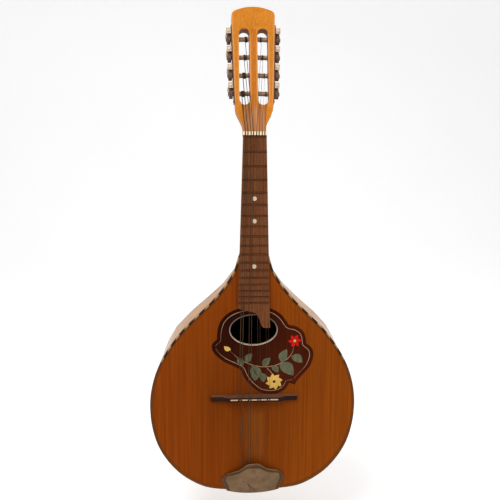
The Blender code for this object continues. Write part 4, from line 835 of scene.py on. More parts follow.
class Finishes(Enum):
    """Every finish on the instrument."""

    SOUNDBOARD = Soundboard("soundboard_varnish", (0.260, 0.056, 0.0040), (0.170, 0.034, 0.0022), 1.1 * MM, 120,
                            0.06, 45 * MM, 0.36, 0.02)
    HEAD = HeadWood("head_varnish", (0.72, 0.265, 0.032), (0.57, 0.175, 0.014), 1.5 * MM, 50, 0.10, 24 * MM,
                    0.35, 0.03)
    MAPLE = Staves("bowl_varnish", (0.60, 0.345, 0.180), (0.50, 0.265, 0.128), 1.6 * MM, 35, 0.06, 18 * MM, 0.2, 0.32)
    MAPLE_DARKER = Staves("bowl_varnish_darker", (0.545, 0.298, 0.150), (0.450, 0.225, 0.104), 1.6 * MM, 35, 0.07,
                          18 * MM, 0.2, 0.32)
    ROSEWOOD = Wood("rosewood_oiled", (0.245, 0.088, 0.035), (0.130, 0.040, 0.014), 0.9 * MM, 45, 0.14,
                    16 * MM, 0.5, 0.03, 0.5)
    BRIDGE = BridgeWood("bridge_stain", (0.034, 0.013, 0.009), (0.018, 0.007, 0.005), 0.9 * MM, 30, 0.2,
                        14 * MM, 0.45, 0.04, 0.4, along=0)
    # The wood inside the bowl is painted near black, as painted shade.
    INSIDE = Wood("inside_painted_shade", (0.016, 0.011, 0.008), (0.009, 0.006, 0.004), 1.2 * MM, 60, 0.15, 25 * MM,
                  0.8, 0.0)
    GUARD = GuardWood("guard_stain", (0.074, 0.0105, 0.0022), (0.044, 0.0062, 0.0014), 1.0 * MM, 40, 0.2, 20 * MM,
                      0.34, 0.03)
    FILLET = Wood("fillet_stain", (0.055, 0.020, 0.012), (0.030, 0.011, 0.007), 1.0 * MM, 40, 0.1, 20 * MM, 0.35, 0.2)
    BONE = GroovedBone("bone", (0.97, 0.83, 0.56), (0.90, 0.72, 0.46))
    RING = RingWood("ring_wood", (0.62, 0.46, 0.34), (0.50, 0.36, 0.26))
    SADDLE = NotchedBone("saddle_bone", (0.80, 0.54, 0.37), (0.66, 0.42, 0.28), 3 * MM, 0.4, 0.1)
    PEARL = Cast("pearl_dot", (0.80, 0.66, 0.48), (0.68, 0.54, 0.38), 2 * MM, 0.22)
    BUTTON = Cast("button_ivoroid", (0.68, 0.54, 0.38), (0.54, 0.40, 0.27), 4 * MM, 0.28)
    CREAM_INLAY = Cast("cream_inlay", (0.46, 0.27, 0.16), (0.36, 0.20, 0.11), 6 * MM, 0.3, 0.05)
    GOLD_INLAY = Cast("gold_inlay", (0.74, 0.47, 0.12), (0.62, 0.37, 0.08), 5 * MM, 0.3, 0.05)
    RED_INLAY = Cast("red_inlay", (0.68, 0.010, 0.008), (0.50, 0.006, 0.005), 5 * MM, 0.3, 0.05)
    GREEN_INLAY = Cast("green_inlay", (0.150, 0.150, 0.085), (0.080, 0.082, 0.044), 4 * MM, 0.3, 0.05)
    NICKEL = Metal("aged_nickel", (0.22, 0.15, 0.095), (0.12, 0.075, 0.045), 11 * MM, 0.5, 0.5)
    COVER = CoverMetal("cover_nickel", (0.245, 0.152, 0.082), (0.160, 0.095, 0.049), 13 * MM, 0.5, 0.35, 0.08)
    CLASP = Wood("clasp_varnish", (0.21, 0.085, 0.036), (0.155, 0.060, 0.025), 1.4 * MM, 35, 0.1, 20 * MM, 0.32, 0.12)
    TUNER = PlateMetal("tuner_plate", (0.63, 0.50, 0.37), (0.44, 0.33, 0.23), 6 * MM, 0.45, 0.3, 0.3)
    GEAR = Metal("gear_bronze", (0.205, 0.120, 0.080), (0.105, 0.055, 0.036), 3 * MM, 0.5, 0.4)
    ROLLER = Metal("roller_metal", (0.33, 0.20, 0.125), (0.165, 0.095, 0.060), 5 * MM, 0.42, 0.4)
    WORM = Metal("worm_bronze", (0.24, 0.155, 0.100), (0.14, 0.085, 0.055), 3 * MM, 0.42, 0.4)
    SHAFT = Metal("shaft_nickel", (0.70, 0.57, 0.43), (0.54, 0.42, 0.30), 3 * MM, 0.4, 0.3)
    # The fret wire is painted very dark: its own dulled colour together with painted shade for the shadow below it.
    FRET = Metal("fret_wire", (0.032, 0.011, 0.005), (0.020, 0.007, 0.003), 3 * MM, 0.6, 0.0, 0.03)
    STEEL = Metal("string_steel", (0.082, 0.046, 0.021), (0.060, 0.034, 0.016), 4 * MM, 0.6, 0.1, 0.06)
    WOUND = WoundString("string_wound", (0.082, 0.046, 0.021))
    ROPE = RopeBinding("rope_binding", (0.040, 0.016, 0.007), (0.105, 0.035, 0.010), (0.46, 0.25, 0.10))


class Wardrobe:
    """Hands out each finish's material, made once."""

    def __init__(self) -> None:
        self.made: dict[Finishes, bpy.types.Material] = {}

    def get(self, finish: Finishes) -> bpy.types.Material:
        """The material of a finish."""
        if finish not in self.made:
            self.made[finish] = finish.value.make()
        return self.made[finish]

    def dress_node(self, node: str, finish: Finishes) -> None:
        """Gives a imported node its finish."""
        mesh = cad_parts[node].data
        mesh.materials.clear()
        mesh.materials.append(self.get(finish))


WARDROBE = Wardrobe()


def add_piece(name: str, mesh: bpy.types.ID, finish: Finishes, body: str = INSTRUMENT,
              replaces: tuple[str, ...] = ()) -> bpy.types.Object:
    """Puts a piece in the scene, dressed and riding on its body.

    Args:
        name: The piece's name.
        mesh: Its mesh or curve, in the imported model's frame.
        finish: Its finish.
        body: The body that carries it.
        replaces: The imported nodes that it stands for.

    Returns:
        The piece's object.
    """
    piece = bpy.data.objects.new(name, mesh)
    bpy.context.scene.collection.objects.link(piece)
    mesh.materials.clear()
    mesh.materials.append(WARDROBE.get(finish))
    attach(piece, body)
    if replaces:
        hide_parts(*replaces)
    return piece


def mesh_from(name: str, points: np.ndarray, faces: list[tuple[int, ...]], smooth: bool = True) -> bpy.types.Mesh:
    """A mesh from points and faces, with its faces turned outwards."""
    mesh = bpy.data.meshes.new(name)
    mesh.from_pydata(np.asarray(points, float).tolist(), [], faces)
    shape = bmesh.new()
    shape.from_mesh(mesh)
    bmesh.ops.recalc_face_normals(shape, faces=shape.faces)
    shape.to_mesh(mesh)
    shape.free()
    if smooth:
        mesh.shade_smooth()
        mesh.set_sharp_from_angle(angle=math.radians(35))
    return mesh


def plate(name: str, outlines: list[np.ndarray], front: float, back: float, step: float = 0.0) -> bpy.types.Mesh:
    """Flat plates side by side in one mesh.

    Args:
        name: The mesh's name.
        outlines: Closed outlines in x and z from the zero fret.
        front: Depth of the plates' front behind the soundboard's plane.
        back: Depth of their back.
        step: How much further each plate's front stands out than the last one's, so that they may overlap.

    Returns:
        The mesh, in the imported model's frame.
    """
    points: list[np.ndarray] = []
    faces: list[tuple[int, ...]] = []
    for number, outline in enumerate(outlines):
        start, count = len(points), len(outline)
        for depth in (front - number * step, back):
            points += [np.array([x, depth, z]) + LAYOUT.shift() for x, z in outline]
        faces.append(tuple(range(start, start + count)))
        faces.append(tuple(range(start + 2 * count - 1, start + count - 1, -1)))
        faces += [
            (start + i, start + count + i, start + count + (i + 1) % count, start + (i + 1) % count)
            for i in range(count)
        ]
    return mesh_from(name, np.array(points), faces, smooth=False)


def skin(name: str, rings: np.ndarray, ends: bool = True, smooth: bool = True) -> bpy.types.Mesh:
    """A closed surface through closed rings of points.

    Args:
        name: The mesh's name.
        rings: An array of rings by points by three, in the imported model's frame.
        ends: Whether the first and the last ring get a face.
        smooth: Whether the surface is shaded smooth.

    Returns:
        The mesh.
    """
    rows, sides = rings.shape[:2]
    faces = [
        (row * sides + i, row * sides + (i + 1) % sides, (row + 1) * sides + (i + 1) % sides, (row + 1) * sides + i)
        for row in range(rows - 1) for i in range(sides)
    ]
    if ends:
        faces.append(tuple(range(sides)))
        faces.append(tuple(range(rows * sides - 1, (rows - 1) * sides - 1, -1)))
    return mesh_from(name, rings.reshape(-1, 3), faces, smooth)


def sheet(name: str, outer: np.ndarray, inner: np.ndarray) -> bpy.types.Mesh:
    """A closed sheet between an outer and an inner grid of points, whose borders are joined.

    Args:
        name: The mesh's name.
        outer: Rows by columns by three, from the zero fret.
        inner: The same for the other face.

    Returns:
        The mesh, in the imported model's frame, with the outer face's points first.
    """
    rows, columns = outer.shape[:2]
    spots = np.arange(rows * columns).reshape(rows, columns)
    face = np.stack([spots[:-1, :-1], spots[:-1, 1:], spots[1:, 1:], spots[1:, :-1]], axis=-1).reshape(-1, 4)
    border = np.concatenate([spots[0], spots[1:, -1], spots[-1, -2::-1], spots[-2:0:-1, 0]])
    following = np.roll(border, -1)
    wall = np.stack([border, following, following + spots.size, border + spots.size], axis=-1)
    faces = np.concatenate([face, face + spots.size, wall])
    points = np.concatenate([outer.reshape(-1, 3), inner.reshape(-1, 3)]) + LAYOUT.shift()
    return mesh_from(name, points, faces.tolist())


def joined(name: str, meshes: list[bpy.types.Mesh]) -> bpy.types.Mesh:
    """Several meshes as one."""
    shape = bmesh.new()
    for mesh in meshes:
        shape.from_mesh(mesh)
        bpy.data.meshes.remove(mesh)
    whole = bpy.data.meshes.new(name)
    shape.to_mesh(whole)
    shape.free()
    return whole


def lathe(profile: list[tuple[float, float]], steps: int, frame_of_axis: Matrix,
           flat: tuple[float, float] = (1.0, 1.0)) -> np.ndarray:
    """Rings of a turned piece.

    Args:
        profile: Radius and height of each ring.
        steps: Points round a ring.
        frame_of_axis: The frame whose z is the piece's axis.
        flat: How far the rings are pressed together along the frame's x and y.

    Returns:
        An array of rings by points by three.
    """
    turns = np.linspace(0, 2 * math.pi, steps, endpoint=False)
    radius, height = np.array(profile).T
    own = np.stack([
        flat[0] * radius[:, None] * np.cos(turns), flat[1] * radius[:, None] * np.sin(turns),
        np.broadcast_to(height[:, None], (len(radius), steps)),
    ], axis=-1)
    return moved(own, frame_of_axis)


def moved(points: np.ndarray, matrix: Matrix) -> np.ndarray:
    """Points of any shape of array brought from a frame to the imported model's."""
    whole = np.array(matrix)
    return points @ whole[:3, :3].T + whole[:3, 3]


@dataclass(frozen=True)
class Body:
    """The body's outline and the bowl behind it."""

    top: float = -145 * MM
    length: float = 314.8 * MM
    width: float = 264.6 * MM
    neck_half: float = 18.16 * MM
    heel_depth: float = 22.9 * MM
    bowl_depth: float = 126 * MM
    rim_plane: float = 3.1 * MM
    swell: float = 15 * MM
    swell_place: float = 0.28
    swell_reach: float = 0.25
    heel_fade: float = 0.1
    across_fullness: float = 0.7
    depth_fullness: float = 0.9
    rib_count: int = 9
    widest: float = 0.6258
    stations: int = 24
    rim_shares: tuple[tuple[float, float], ...] = (
        (0.204, 0.0826), (0.378, 0.1823), (0.718, 0.3288), (0.926, 0.4733), (1.0, 0.6258),
        (0.936, 0.784), (0.750, 0.904), (0.50, 0.9755), (0.25, 0.9955), (0.0, 1.0), (-0.25, 0.9955),
    )
    back_shares: tuple[tuple[float, float], ...] = (
        (0.205, 0.06), (0.32, 0.15), (0.60, 0.30), (0.84, 0.45), (0.965, 0.59), (1.0, 0.71),
        (0.92, 0.84), (0.70, 0.935), (0.36, 0.986), (0.0, 1.0), (-0.36, 0.986),
    )

    def half(self, start: float, width: float, shares: tuple[tuple[float, float], ...], count: int) -> np.ndarray:
        """Half an outline, from the neck to the middle of the tail."""
        points = [(start, self.top)] + [(width * x, self.top - self.length * z) for x, z in shares]
        dense = smooth_curve(points, 1200)
        low = dense[:, 1] > self.top - 0.9 * self.length
        line = dense[: int(np.argmin(np.abs(dense[:, 0]) + low))]
        line[-1] = (0, self.top - self.length)
        return evenly_spaced(line, count)

    def rim(self, count: int) -> np.ndarray:
        """Half of the soundboard's outline."""
        return self.half(self.neck_half, self.width / 2, self.rim_shares, count)

    def around(self, count: int) -> np.ndarray:
        """The outline from the treble side of the neck to the bass side, as count points a half."""
        half = self.rim(count)
        return np.vstack([half, (half * (-1, 1))[::-1][1:]])

    def face(self, z: np.ndarray, turn: float | np.ndarray) -> np.ndarray:
        """Points of the bowl's outer face, at heights, at a turn from the treble rim round the back.

        Across, x follows the rim's half width times cos(turn)^0.7, and the depth follows the back's line times
        sin(turn)^0.9. A swell behind the neck adds up to its own height where both are large.
        """
        rim = self.rim(600)
        back = self.half(self.heel_depth, self.bowl_depth, self.back_shares, 600)
        wide = np.interp(-z, -rim[:, 1], rim[:, 0])
        deep = np.interp(-z, -back[:, 1], back[:, 0])
        share = (self.top - z) / self.length
        near = np.clip((share - self.swell_place) / self.swell_reach, -1, 1)
        fade = np.clip(share / self.heel_fade, 0, 1)
        swell = self.swell * np.cos(near * math.pi / 2) ** 2 * np.sin(2 * turn) * fade
        cosine = np.cos(turn)
        x = wide * np.copysign(np.abs(cosine) ** self.across_fullness, cosine) + swell
        y = self.rim_plane + deep * np.maximum(np.sin(turn), 0) ** self.depth_fullness
        return np.stack([x, y, z], axis=1)

    def centre(self) -> float:
        """Height of the widest place, from which the tail's angles are measured."""
        return self.top - self.widest * self.length

    def slice(self, depth: float, angles: np.ndarray) -> np.ndarray:
        """Distance from the widest place's middle to the bowl's face, in a slice at a depth.

        The slice's points are found height by height, from the turn at which the face has that depth, and are
        read at the wanted angles from the tail.
        """
        back = self.half(self.heel_depth, self.bowl_depth, self.back_shares, 600)
        lower = back[int(np.argmax(back[:, 0])):][::-1]
        end = np.interp(depth - self.rim_plane, lower[:, 0], lower[:, 1])
        start = self.centre() + 0.15 * self.length
        z = end + (start - end) * np.linspace(1, 0, 600) ** 2
        deep = np.maximum(np.interp(-z, -back[:, 1], back[:, 0]), 1e-9)
        share = np.clip((depth - self.rim_plane) / deep, 0, 1)
        points = self.face(z, np.arcsin(share ** (1 / self.depth_fullness)))
        turns = np.arctan2(points[:, 0], self.centre() - points[:, 2])
        reach = np.hypot(points[:, 0], self.centre() - points[:, 2])
        order = np.argsort(turns)
        return np.interp(np.abs(angles), turns[order], reach[order])

    def rib_lines(self) -> None:
        """Adds the dark fillets let in between the ribs."""
        share = np.linspace(0, 1, self.stations + 1)[:-1]
        z = self.top - 0.3 * MM - (self.length - 0.3 * MM) * np.sin(share * math.pi / 2)
        meshes = []
        for number in range(1, self.rib_count):
            turn = math.pi * number / self.rib_count
            line = self.face(z, turn)
            across = self.face(z, turn + 0.02) - self.face(z, turn - 0.02)
            across /= np.linalg.norm(across, axis=1, keepdims=True)
            along = np.gradient(line, axis=0)
            outwards = np.cross(across, along)
            outwards /= np.linalg.norm(outwards, axis=1, keepdims=True)
            outwards *= np.sign(outwards[:, 1].sum())
            half, proud, sunk = 0.4 * MM, 0.06 * MM, 0.5 * MM
            rings = np.stack([
                line - across * half + outwards * proud, line + across * half + outwards * proud,
                line + across * 0.3 * half - outwards * sunk, line - across * 0.3 * half - outwards * sunk,
            ], axis=1) + LAYOUT.shift()
            meshes.append(skin(f"fillet_{number}", rings))
        add_piece("rib_fillets", joined("rib_fillets", meshes), Finishes.FILLET)


@dataclass(frozen=True)
class Clasp:
    """The band of wood bent round the tail over the ribs' tips, which runs out thinly on both sides."""

    lower_edge: tuple[tuple[float, float], ...] = (
        (0, 42), (12, 40.6), (24, 36), (34, 29), (43, 20.5), (53, 13.5), (68, 8), (84, 3),
    )
    front: float = 0.3 * MM
    off_ribs: float = 0.1 * MM
    thickness: float = 1.05 * MM
    thinnest: float = 0.12
    across_count: int = 85
    down_count: int = 15
    levels: int = 24
    body: Body = field(default_factory=Body)

    def make(self) -> None:
        """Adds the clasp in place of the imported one.

        At an angle from the tail its rows run from the front to the lower edge. Its thickness is full for 0.55 of
        the way to each end and falls smoothly from there, and its last rows are rounded down to the ribs.
        """
        edge = smooth_curve(self.lower_edge, 200)
        spread = edge[-1, 0]
        degrees = np.linspace(-spread, spread, self.across_count)
        angles = np.radians(degrees)
        deepest = np.interp(np.abs(degrees), edge[:, 0], edge[:, 1]) * MM
        share = np.linspace(0, 1, self.down_count)[:, None] ** 0.8
        depth = self.front + (deepest - self.front) * share
        levels = np.linspace(self.body.rim_plane, deepest.max(), self.levels)
        table = np.stack([self.body.slice(level, angles) for level in levels])
        place = np.clip((depth - levels[0]) / np.ptp(levels), 0, 1) * (self.levels - 1)
        low = np.minimum(place.astype(int), self.levels - 2)
        part = place - low
        column = np.arange(self.across_count)[None, :]
        reach = table[low, column] * (1 - part) + table[low + 1, column] * part
        fall = np.clip((np.abs(degrees) / spread - 0.55) / 0.45, 0, 1)
        thin = 1 - (1 - self.thinnest) * fall**2 * (3 - 2 * fall)
        rounded = np.sqrt(1 - np.clip((share - 0.88) / 0.125, 0, 1) ** 2)
        rims = (reach + self.off_ribs + self.thickness * thin * rounded, reach + 0.5 * self.off_ribs)
        outer, inner = (
            np.stack([rim * np.sin(angles), depth, self.body.centre() - rim * np.cos(angles)], axis=-1) for rim in rims
        )
        add_piece("tail_clasp", sheet("tail_clasp", outer, inner), Finishes.CLASP,
                  replaces=("end_clasp",))


@dataclass(frozen=True)
class Binding:
    """The rope-patterned strip at the soundboard's edge."""

    width: float = 3.0 * MM
    depth: float = 2.8 * MM
    round_over: float = 0.5 * MM
    count: int = 260
    body: Body = field(default_factory=Body)

    def make(self) -> None:
        """Adds the strip, with its length and breadth stored on its points for the pattern."""
        line = self.body.around(self.count)[1:-1]
        along = np.gradient(line, axis=0)
        along /= np.linalg.norm(along, axis=1, keepdims=True)
        inwards = np.stack([along[:, 1], -along[:, 0]], axis=1)
        travelled = np.concatenate([[0], np.cumsum(np.linalg.norm(np.diff(line, axis=0), axis=1))])
        profile = [
            (0.0, self.depth), (0.0, self.round_over), (0.3 * self.round_over, 0.3 * self.round_over),
            (self.round_over, 0.0), (self.width, 0.0), (self.width, self.depth),
        ]
        rows = []
        for inset, depth in profile:
            ring = line + inwards * inset
            rows.append(np.stack([ring[:, 0], np.full(len(ring), depth), ring[:, 1]], axis=1))
        grid = np.stack(rows) + LAYOUT.shift()
        count, sides = len(line), len(profile)
        faces = [
            (a * count + i, a * count + i + 1, b * count + i + 1, b * count + i)
            for a, b in ((n, (n + 1) % sides) for n in range(sides)) for i in range(count - 1)
        ]
        faces += [tuple(n * count for n in range(sides)), tuple(n * count + count - 1 for n in range(sides))]
        mesh = mesh_from("edge_rope", grid.reshape(-1, 3), faces)
        # Each side of the middle counts its length from the tail, so that the pattern is mirrored.
        length = np.abs(travelled - travelled[-1] / 2)
        for name, values in (
            ("rim_length", np.tile(length, sides)),
            ("rim_height", np.tile(line[:, 1], sides)),
            ("rim_across", np.repeat([inset / self.width for inset, _ in profile], count)),
        ):
            mesh.attributes.new(name, "FLOAT", "POINT").data.foreach_set("value", values.astype(np.float32))
        add_piece("edge_rope", mesh, Finishes.ROPE, replaces=("edge_binding",))


@dataclass(frozen=True)
class Fretwork:
    """Fret wires and position dots."""

    count: int = 17
    width: float = 2.04 * MM
    height: float = 1.05 * MM
    board_top: float = -5.0 * MM
    nut_width: float = 28.6 * MM
    last_width: float = 39.6 * MM
    dot_spaces: tuple[int, ...] = (5, 7, 12)
    dot_radius: float = 2.7 * MM
    arc_steps: int = 8

    def half_width(self, z: float) -> float:
        """Half the fingerboard's width at a height."""
        share = z / LAYOUT.fret(self.count)
        return (self.nut_width + (self.last_width - self.nut_width) * share) / 2

    def wires(self) -> None:
        """Adds a crowned wire over each fret."""
        turns = np.linspace(0, math.pi, self.arc_steps + 1)
        points: list[Vector] = []
        faces: list[tuple[int, ...]] = []
        sides = len(turns)
        for number in range(self.count + 1):
            z = LAYOUT.fret(number)
            half = self.half_width(z) - 0.1 * MM
            start = len(points)
            for x, lift in ((-half, 0.35), (-half + 0.8 * MM, 1.0), (half - 0.8 * MM, 1.0), (half, 0.35)):
                for turn in turns:
                    rise = self.height * lift * math.sin(turn) ** 0.8
                    points.append(LAYOUT.at(x, self.board_top - rise + 0.05 * MM,
                                            z + self.width / 2 * math.cos(turn)))
            for ring in range(3):
                first = start + ring * sides
                faces += [
                    (first + i, first + (i + 1) % sides, first + sides + (i + 1) % sides, first + sides + i)
                    for i in range(sides)
                ]
            faces.append(tuple(range(start, start + sides)))
            faces.append(tuple(range(start + 4 * sides - 1, start + 3 * sides - 1, -1)))
        mesh = mesh_from("fret_wires", np.array(points), faces)
        add_piece("fret_wires", mesh, Finishes.FRET)

    def dots(self) -> None:
        """Adds the dots between the frets that players count by."""
        turns = np.linspace(0, 2 * math.pi, 32, endpoint=False)
        outlines = []
        for space in self.dot_spaces:
            z = (LAYOUT.fret(space) + LAYOUT.fret(space - 1)) / 2
            outlines.append(np.stack([self.dot_radius * np.cos(turns), z + self.dot_radius * np.sin(turns)], axis=1))
        mesh = plate("position_dots", outlines, self.board_top - 0.04 * MM, self.board_top + 0.4 * MM)
        add_piece("position_dots", mesh, Finishes.PEARL)

    def make(self) -> None:
        """Adds wires and dots."""
        self.wires()
        self.dots()


@dataclass(frozen=True)
class GuardInlay:
    """A spray of flowers and leaves in coloured wood, let into the guard plate."""

    front: float = -0.05 * MM
    back: float = 0.3 * MM
    layer: float = 0.004 * MM
    line_inset: float = 4.6
    line_width: float = 0.75

    @staticmethod
    def leaf(x: float, z: float, angle: float, length: float, width: float) -> np.ndarray:
        """A pointed leaf from its stalk's end, in millimetres and degrees."""
        share = np.linspace(0, 1, 15)
        half = 0.5 * width * np.sin(math.pi * share) ** 0.8 * (1.25 - 0.5 * share)
        bend = 0.10 * length * np.sin(math.pi * share)
        upper = np.stack([length * share, bend + half], axis=1)
        lower = np.stack([length * share, bend - half], axis=1)[::-1][1:-1]
        turn = math.radians(angle)
        spin = np.array([[math.cos(turn), math.sin(turn)], [-math.sin(turn), math.cos(turn)]])
        return (np.vstack([upper, lower]) @ spin + (x, z)) * MM

    @staticmethod
    def ribbon(points: list[tuple[float, float]], width: float, count: int = 40) -> np.ndarray:
        """A thin band along a curve, in millimetres, tapering to its ends."""
        line = smooth_curve(points, count)
        along = np.gradient(line, axis=0)
        along /= np.linalg.norm(along, axis=1, keepdims=True)
        across = np.stack([-along[:, 1], along[:, 0]], axis=1)
        taper = 0.5 * width * np.clip(6 * np.minimum(np.linspace(0, 1, count), np.linspace(1, 0, count)), 0.3, 1)
        return np.vstack([line + across * taper[:, None], (line - across * taper[:, None])[::-1]]) * MM

    def flower(self, x: float, z: float, petals: int, reach: float, start: float) -> list[np.ndarray]:
        """Petals round a middle, in millimetres and degrees."""
        return [
            self.leaf(x + 1.6 * math.cos(math.radians(a)), z + 1.6 * math.sin(math.radians(a)), a, reach, 0.62 * reach)
            for a in (start + 360 * n / petals for n in range(petals))
        ]

    @staticmethod
    def disc(x: float, z: float, radius: float) -> np.ndarray:
        """A round, in millimetres."""
        turns = np.linspace(0, 2 * math.pi, 24, endpoint=False)
        return np.stack([x + radius * np.cos(turns), z + radius * np.sin(turns)], axis=1) * MM

    @staticmethod
    def plate_edge() -> np.ndarray:
        """The guard plate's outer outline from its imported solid, in millimetres from the zero fret."""
        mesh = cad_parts["pickguard"].data
        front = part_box("pickguard")[0].y
        given = np.array([vertex.co for vertex in mesh.vertices])
        # Points at one place count as one point.
        _, first, place = np.unique(np.round(given / (0.001 * MM)), axis=0, return_index=True, return_inverse=True)
        points, place = given[first], place.reshape(-1)
        sides: dict[int, list[int]] = {}
        counted: dict[tuple[int, int], int] = {}
        for face in mesh.polygons:
            if face.normal.y < -0.9 and abs(given[face.vertices[0], 1] - front) < 0.01 * MM:
                for a, b in face.edge_keys:
                    key = tuple(sorted((int(place[a]), int(place[b]))))
                    counted[key] = counted.get(key, 0) + 1
        for (a, b), times in counted.items():
            if times == 1:
                sides.setdefault(a, []).append(b)
                sides.setdefault(b, []).append(a)
        start = max(sides, key=lambda index: points[index, 0])
        loop, last = [start], None
        while True:
            following = next(index for index in sides[loop[-1]] if index != last)
            last = loop[-1]
            if following == start:
                break
            loop.append(following)
        return (points[loop][:, (0, 2)] - (0.0, LAYOUT.zero_fret)) / MM

    def lines(self) -> list[np.ndarray]:
        """Thin lines that follow the plate's edge at an even distance, broken at the plate's points."""
        edge = evenly_spaced(np.vstack([self.plate_edge(), self.plate_edge()[:1]]), 900)[:-1]
        along = np.roll(edge, -1, axis=0) - np.roll(edge, 1, axis=0)
        along /= np.linalg.norm(along, axis=1, keepdims=True)
        area = (edge[:, 0] * np.roll(edge[:, 1], -1) - edge[:, 1] * np.roll(edge[:, 0], -1)).sum()
        inner = edge + math.copysign(self.line_inset, area) * np.stack([-along[:, 1], along[:, 0]], axis=1)
        apart = np.linalg.norm(inner[:, None] - edge[None], axis=2).min(axis=1)
        kept = np.nonzero(apart > 0.97 * self.line_inset)[0]
        strokes = np.split(kept, np.nonzero(np.diff(kept) > 1)[0] + 1)
        if kept[0] == 0 and kept[-1] == len(edge) - 1:
            strokes = [np.concatenate([strokes[-1], strokes[0]]), *strokes[1:-1]]
        outlines = []
        for stroke in strokes:
            if len(stroke) > 40:
                line = inner[stroke][3:-3:3]
                outlines.append(self.ribbon(line, self.line_width, 2 * len(line)))
        return outlines

    def make(self) -> None:
        """Adds the lines and the spray, one piece for each colour."""
        pieces = {
            "inlay_lines": (Finishes.CREAM_INLAY, self.lines()),
            "inlay_stems": (Finishes.CREAM_INLAY, [
                self.ribbon([(-30, -270), (-18, -281), (-2, -289), (16, -292), (34, -288), (48, -277), (53, -262)], 0.8),
                self.ribbon([(16, -292), (24, -301), (27, -311)], 0.8, 20),
                self.ribbon([(-2, -289), (2, -299), (8, -306)], 0.7, 20),
            ]),
            "inlay_flower": (Finishes.RED_INLAY, self.flower(53, -258, 6, 7, 0)),
            "inlay_gold": (Finishes.GOLD_INLAY, [
                *self.flower(27, -312, 8, 9.5, 10), self.disc(53, -258, 1.8), self.leaf(-29, -269, 150, 10, 6),
            ]),
            "inlay_leaves": (Finishes.GREEN_INLAY, [
                self.leaf(-20, -280, -62, 13, 8), self.leaf(-9, -286, 58, 14, 9), self.leaf(0, -289, -84, 22, 14),
                self.leaf(13, -292, 52, 15, 9), self.leaf(24, -291, -48, 12, 8), self.leaf(34, -288, -42, 24, 15),
                self.leaf(37, -287, 72, 19, 11), self.leaf(49, -278, -32, 17, 11), self.leaf(10, -300, -75, 13, 9),
            ]),
        }
        for name, (finish, outlines) in pieces.items():
            front = self.front - (0.03 * MM if finish is Finishes.GOLD_INLAY else 0)
            add_piece(name, plate(name, outlines, front, self.back, self.layer), finish)


@dataclass(frozen=True)
class Saddle:
    """The bone saddle, rounded on top and notched for each string."""

    radius: float = 0.6 * MM
    notch: float = 0.8 * MM
    notch_side: float = 0.55 * MM
    strings: "Strings" = field(default_factory=lambda: Strings())

    def make(self) -> None:
        """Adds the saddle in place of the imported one."""
        low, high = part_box("saddle")
        middle = (low.z + high.z) / 2
        half = self.radius
        places = []
        for index in range(8):
            number, twin = divmod(index, 2)
            centre = (self.strings.bridge_shift + (number - 1.5) * self.strings.saddle_course
                      + (twin - 0.5) * self.strings.saddle_pair)
            wide = self.strings.diameters[number] / 2 + self.notch_side
            places += [(centre - wide - 0.05 * MM, 0), (centre - wide, 1), (centre + wide, 1), (centre + wide + 0.05 * MM, 0)]
        places = [(low.x, 0), (low.x + 0.4 * MM, 0), *places, (high.x - 0.4 * MM, 0), (high.x, 0)]
        rings = []
        for x, cut in places:
            top = low.y + self.notch * cut + (0.35 * MM if x in (low.x, high.x) else 0)
            turns = np.linspace(math.pi, 0, 9)
            arc = [(x, top + half * (1 - math.sin(t)) * 0.8, middle + half * math.cos(t)) for t in turns]
            rings.append([(x, high.y, middle - half), *arc, (x, high.y, middle + half)])
        mesh = skin("saddle_notched", np.array(rings), smooth=False)
        # The notch attribute also places the painted shade in the notches.
        cuts = np.repeat([float(cut) for _, cut in places], len(rings[0])).astype(np.float32)
        mesh.attributes.new("notch", "FLOAT", "POINT").data.foreach_set("value", cuts)
        add_piece("saddle_notched", mesh, Finishes.SADDLE, replaces=("saddle",))


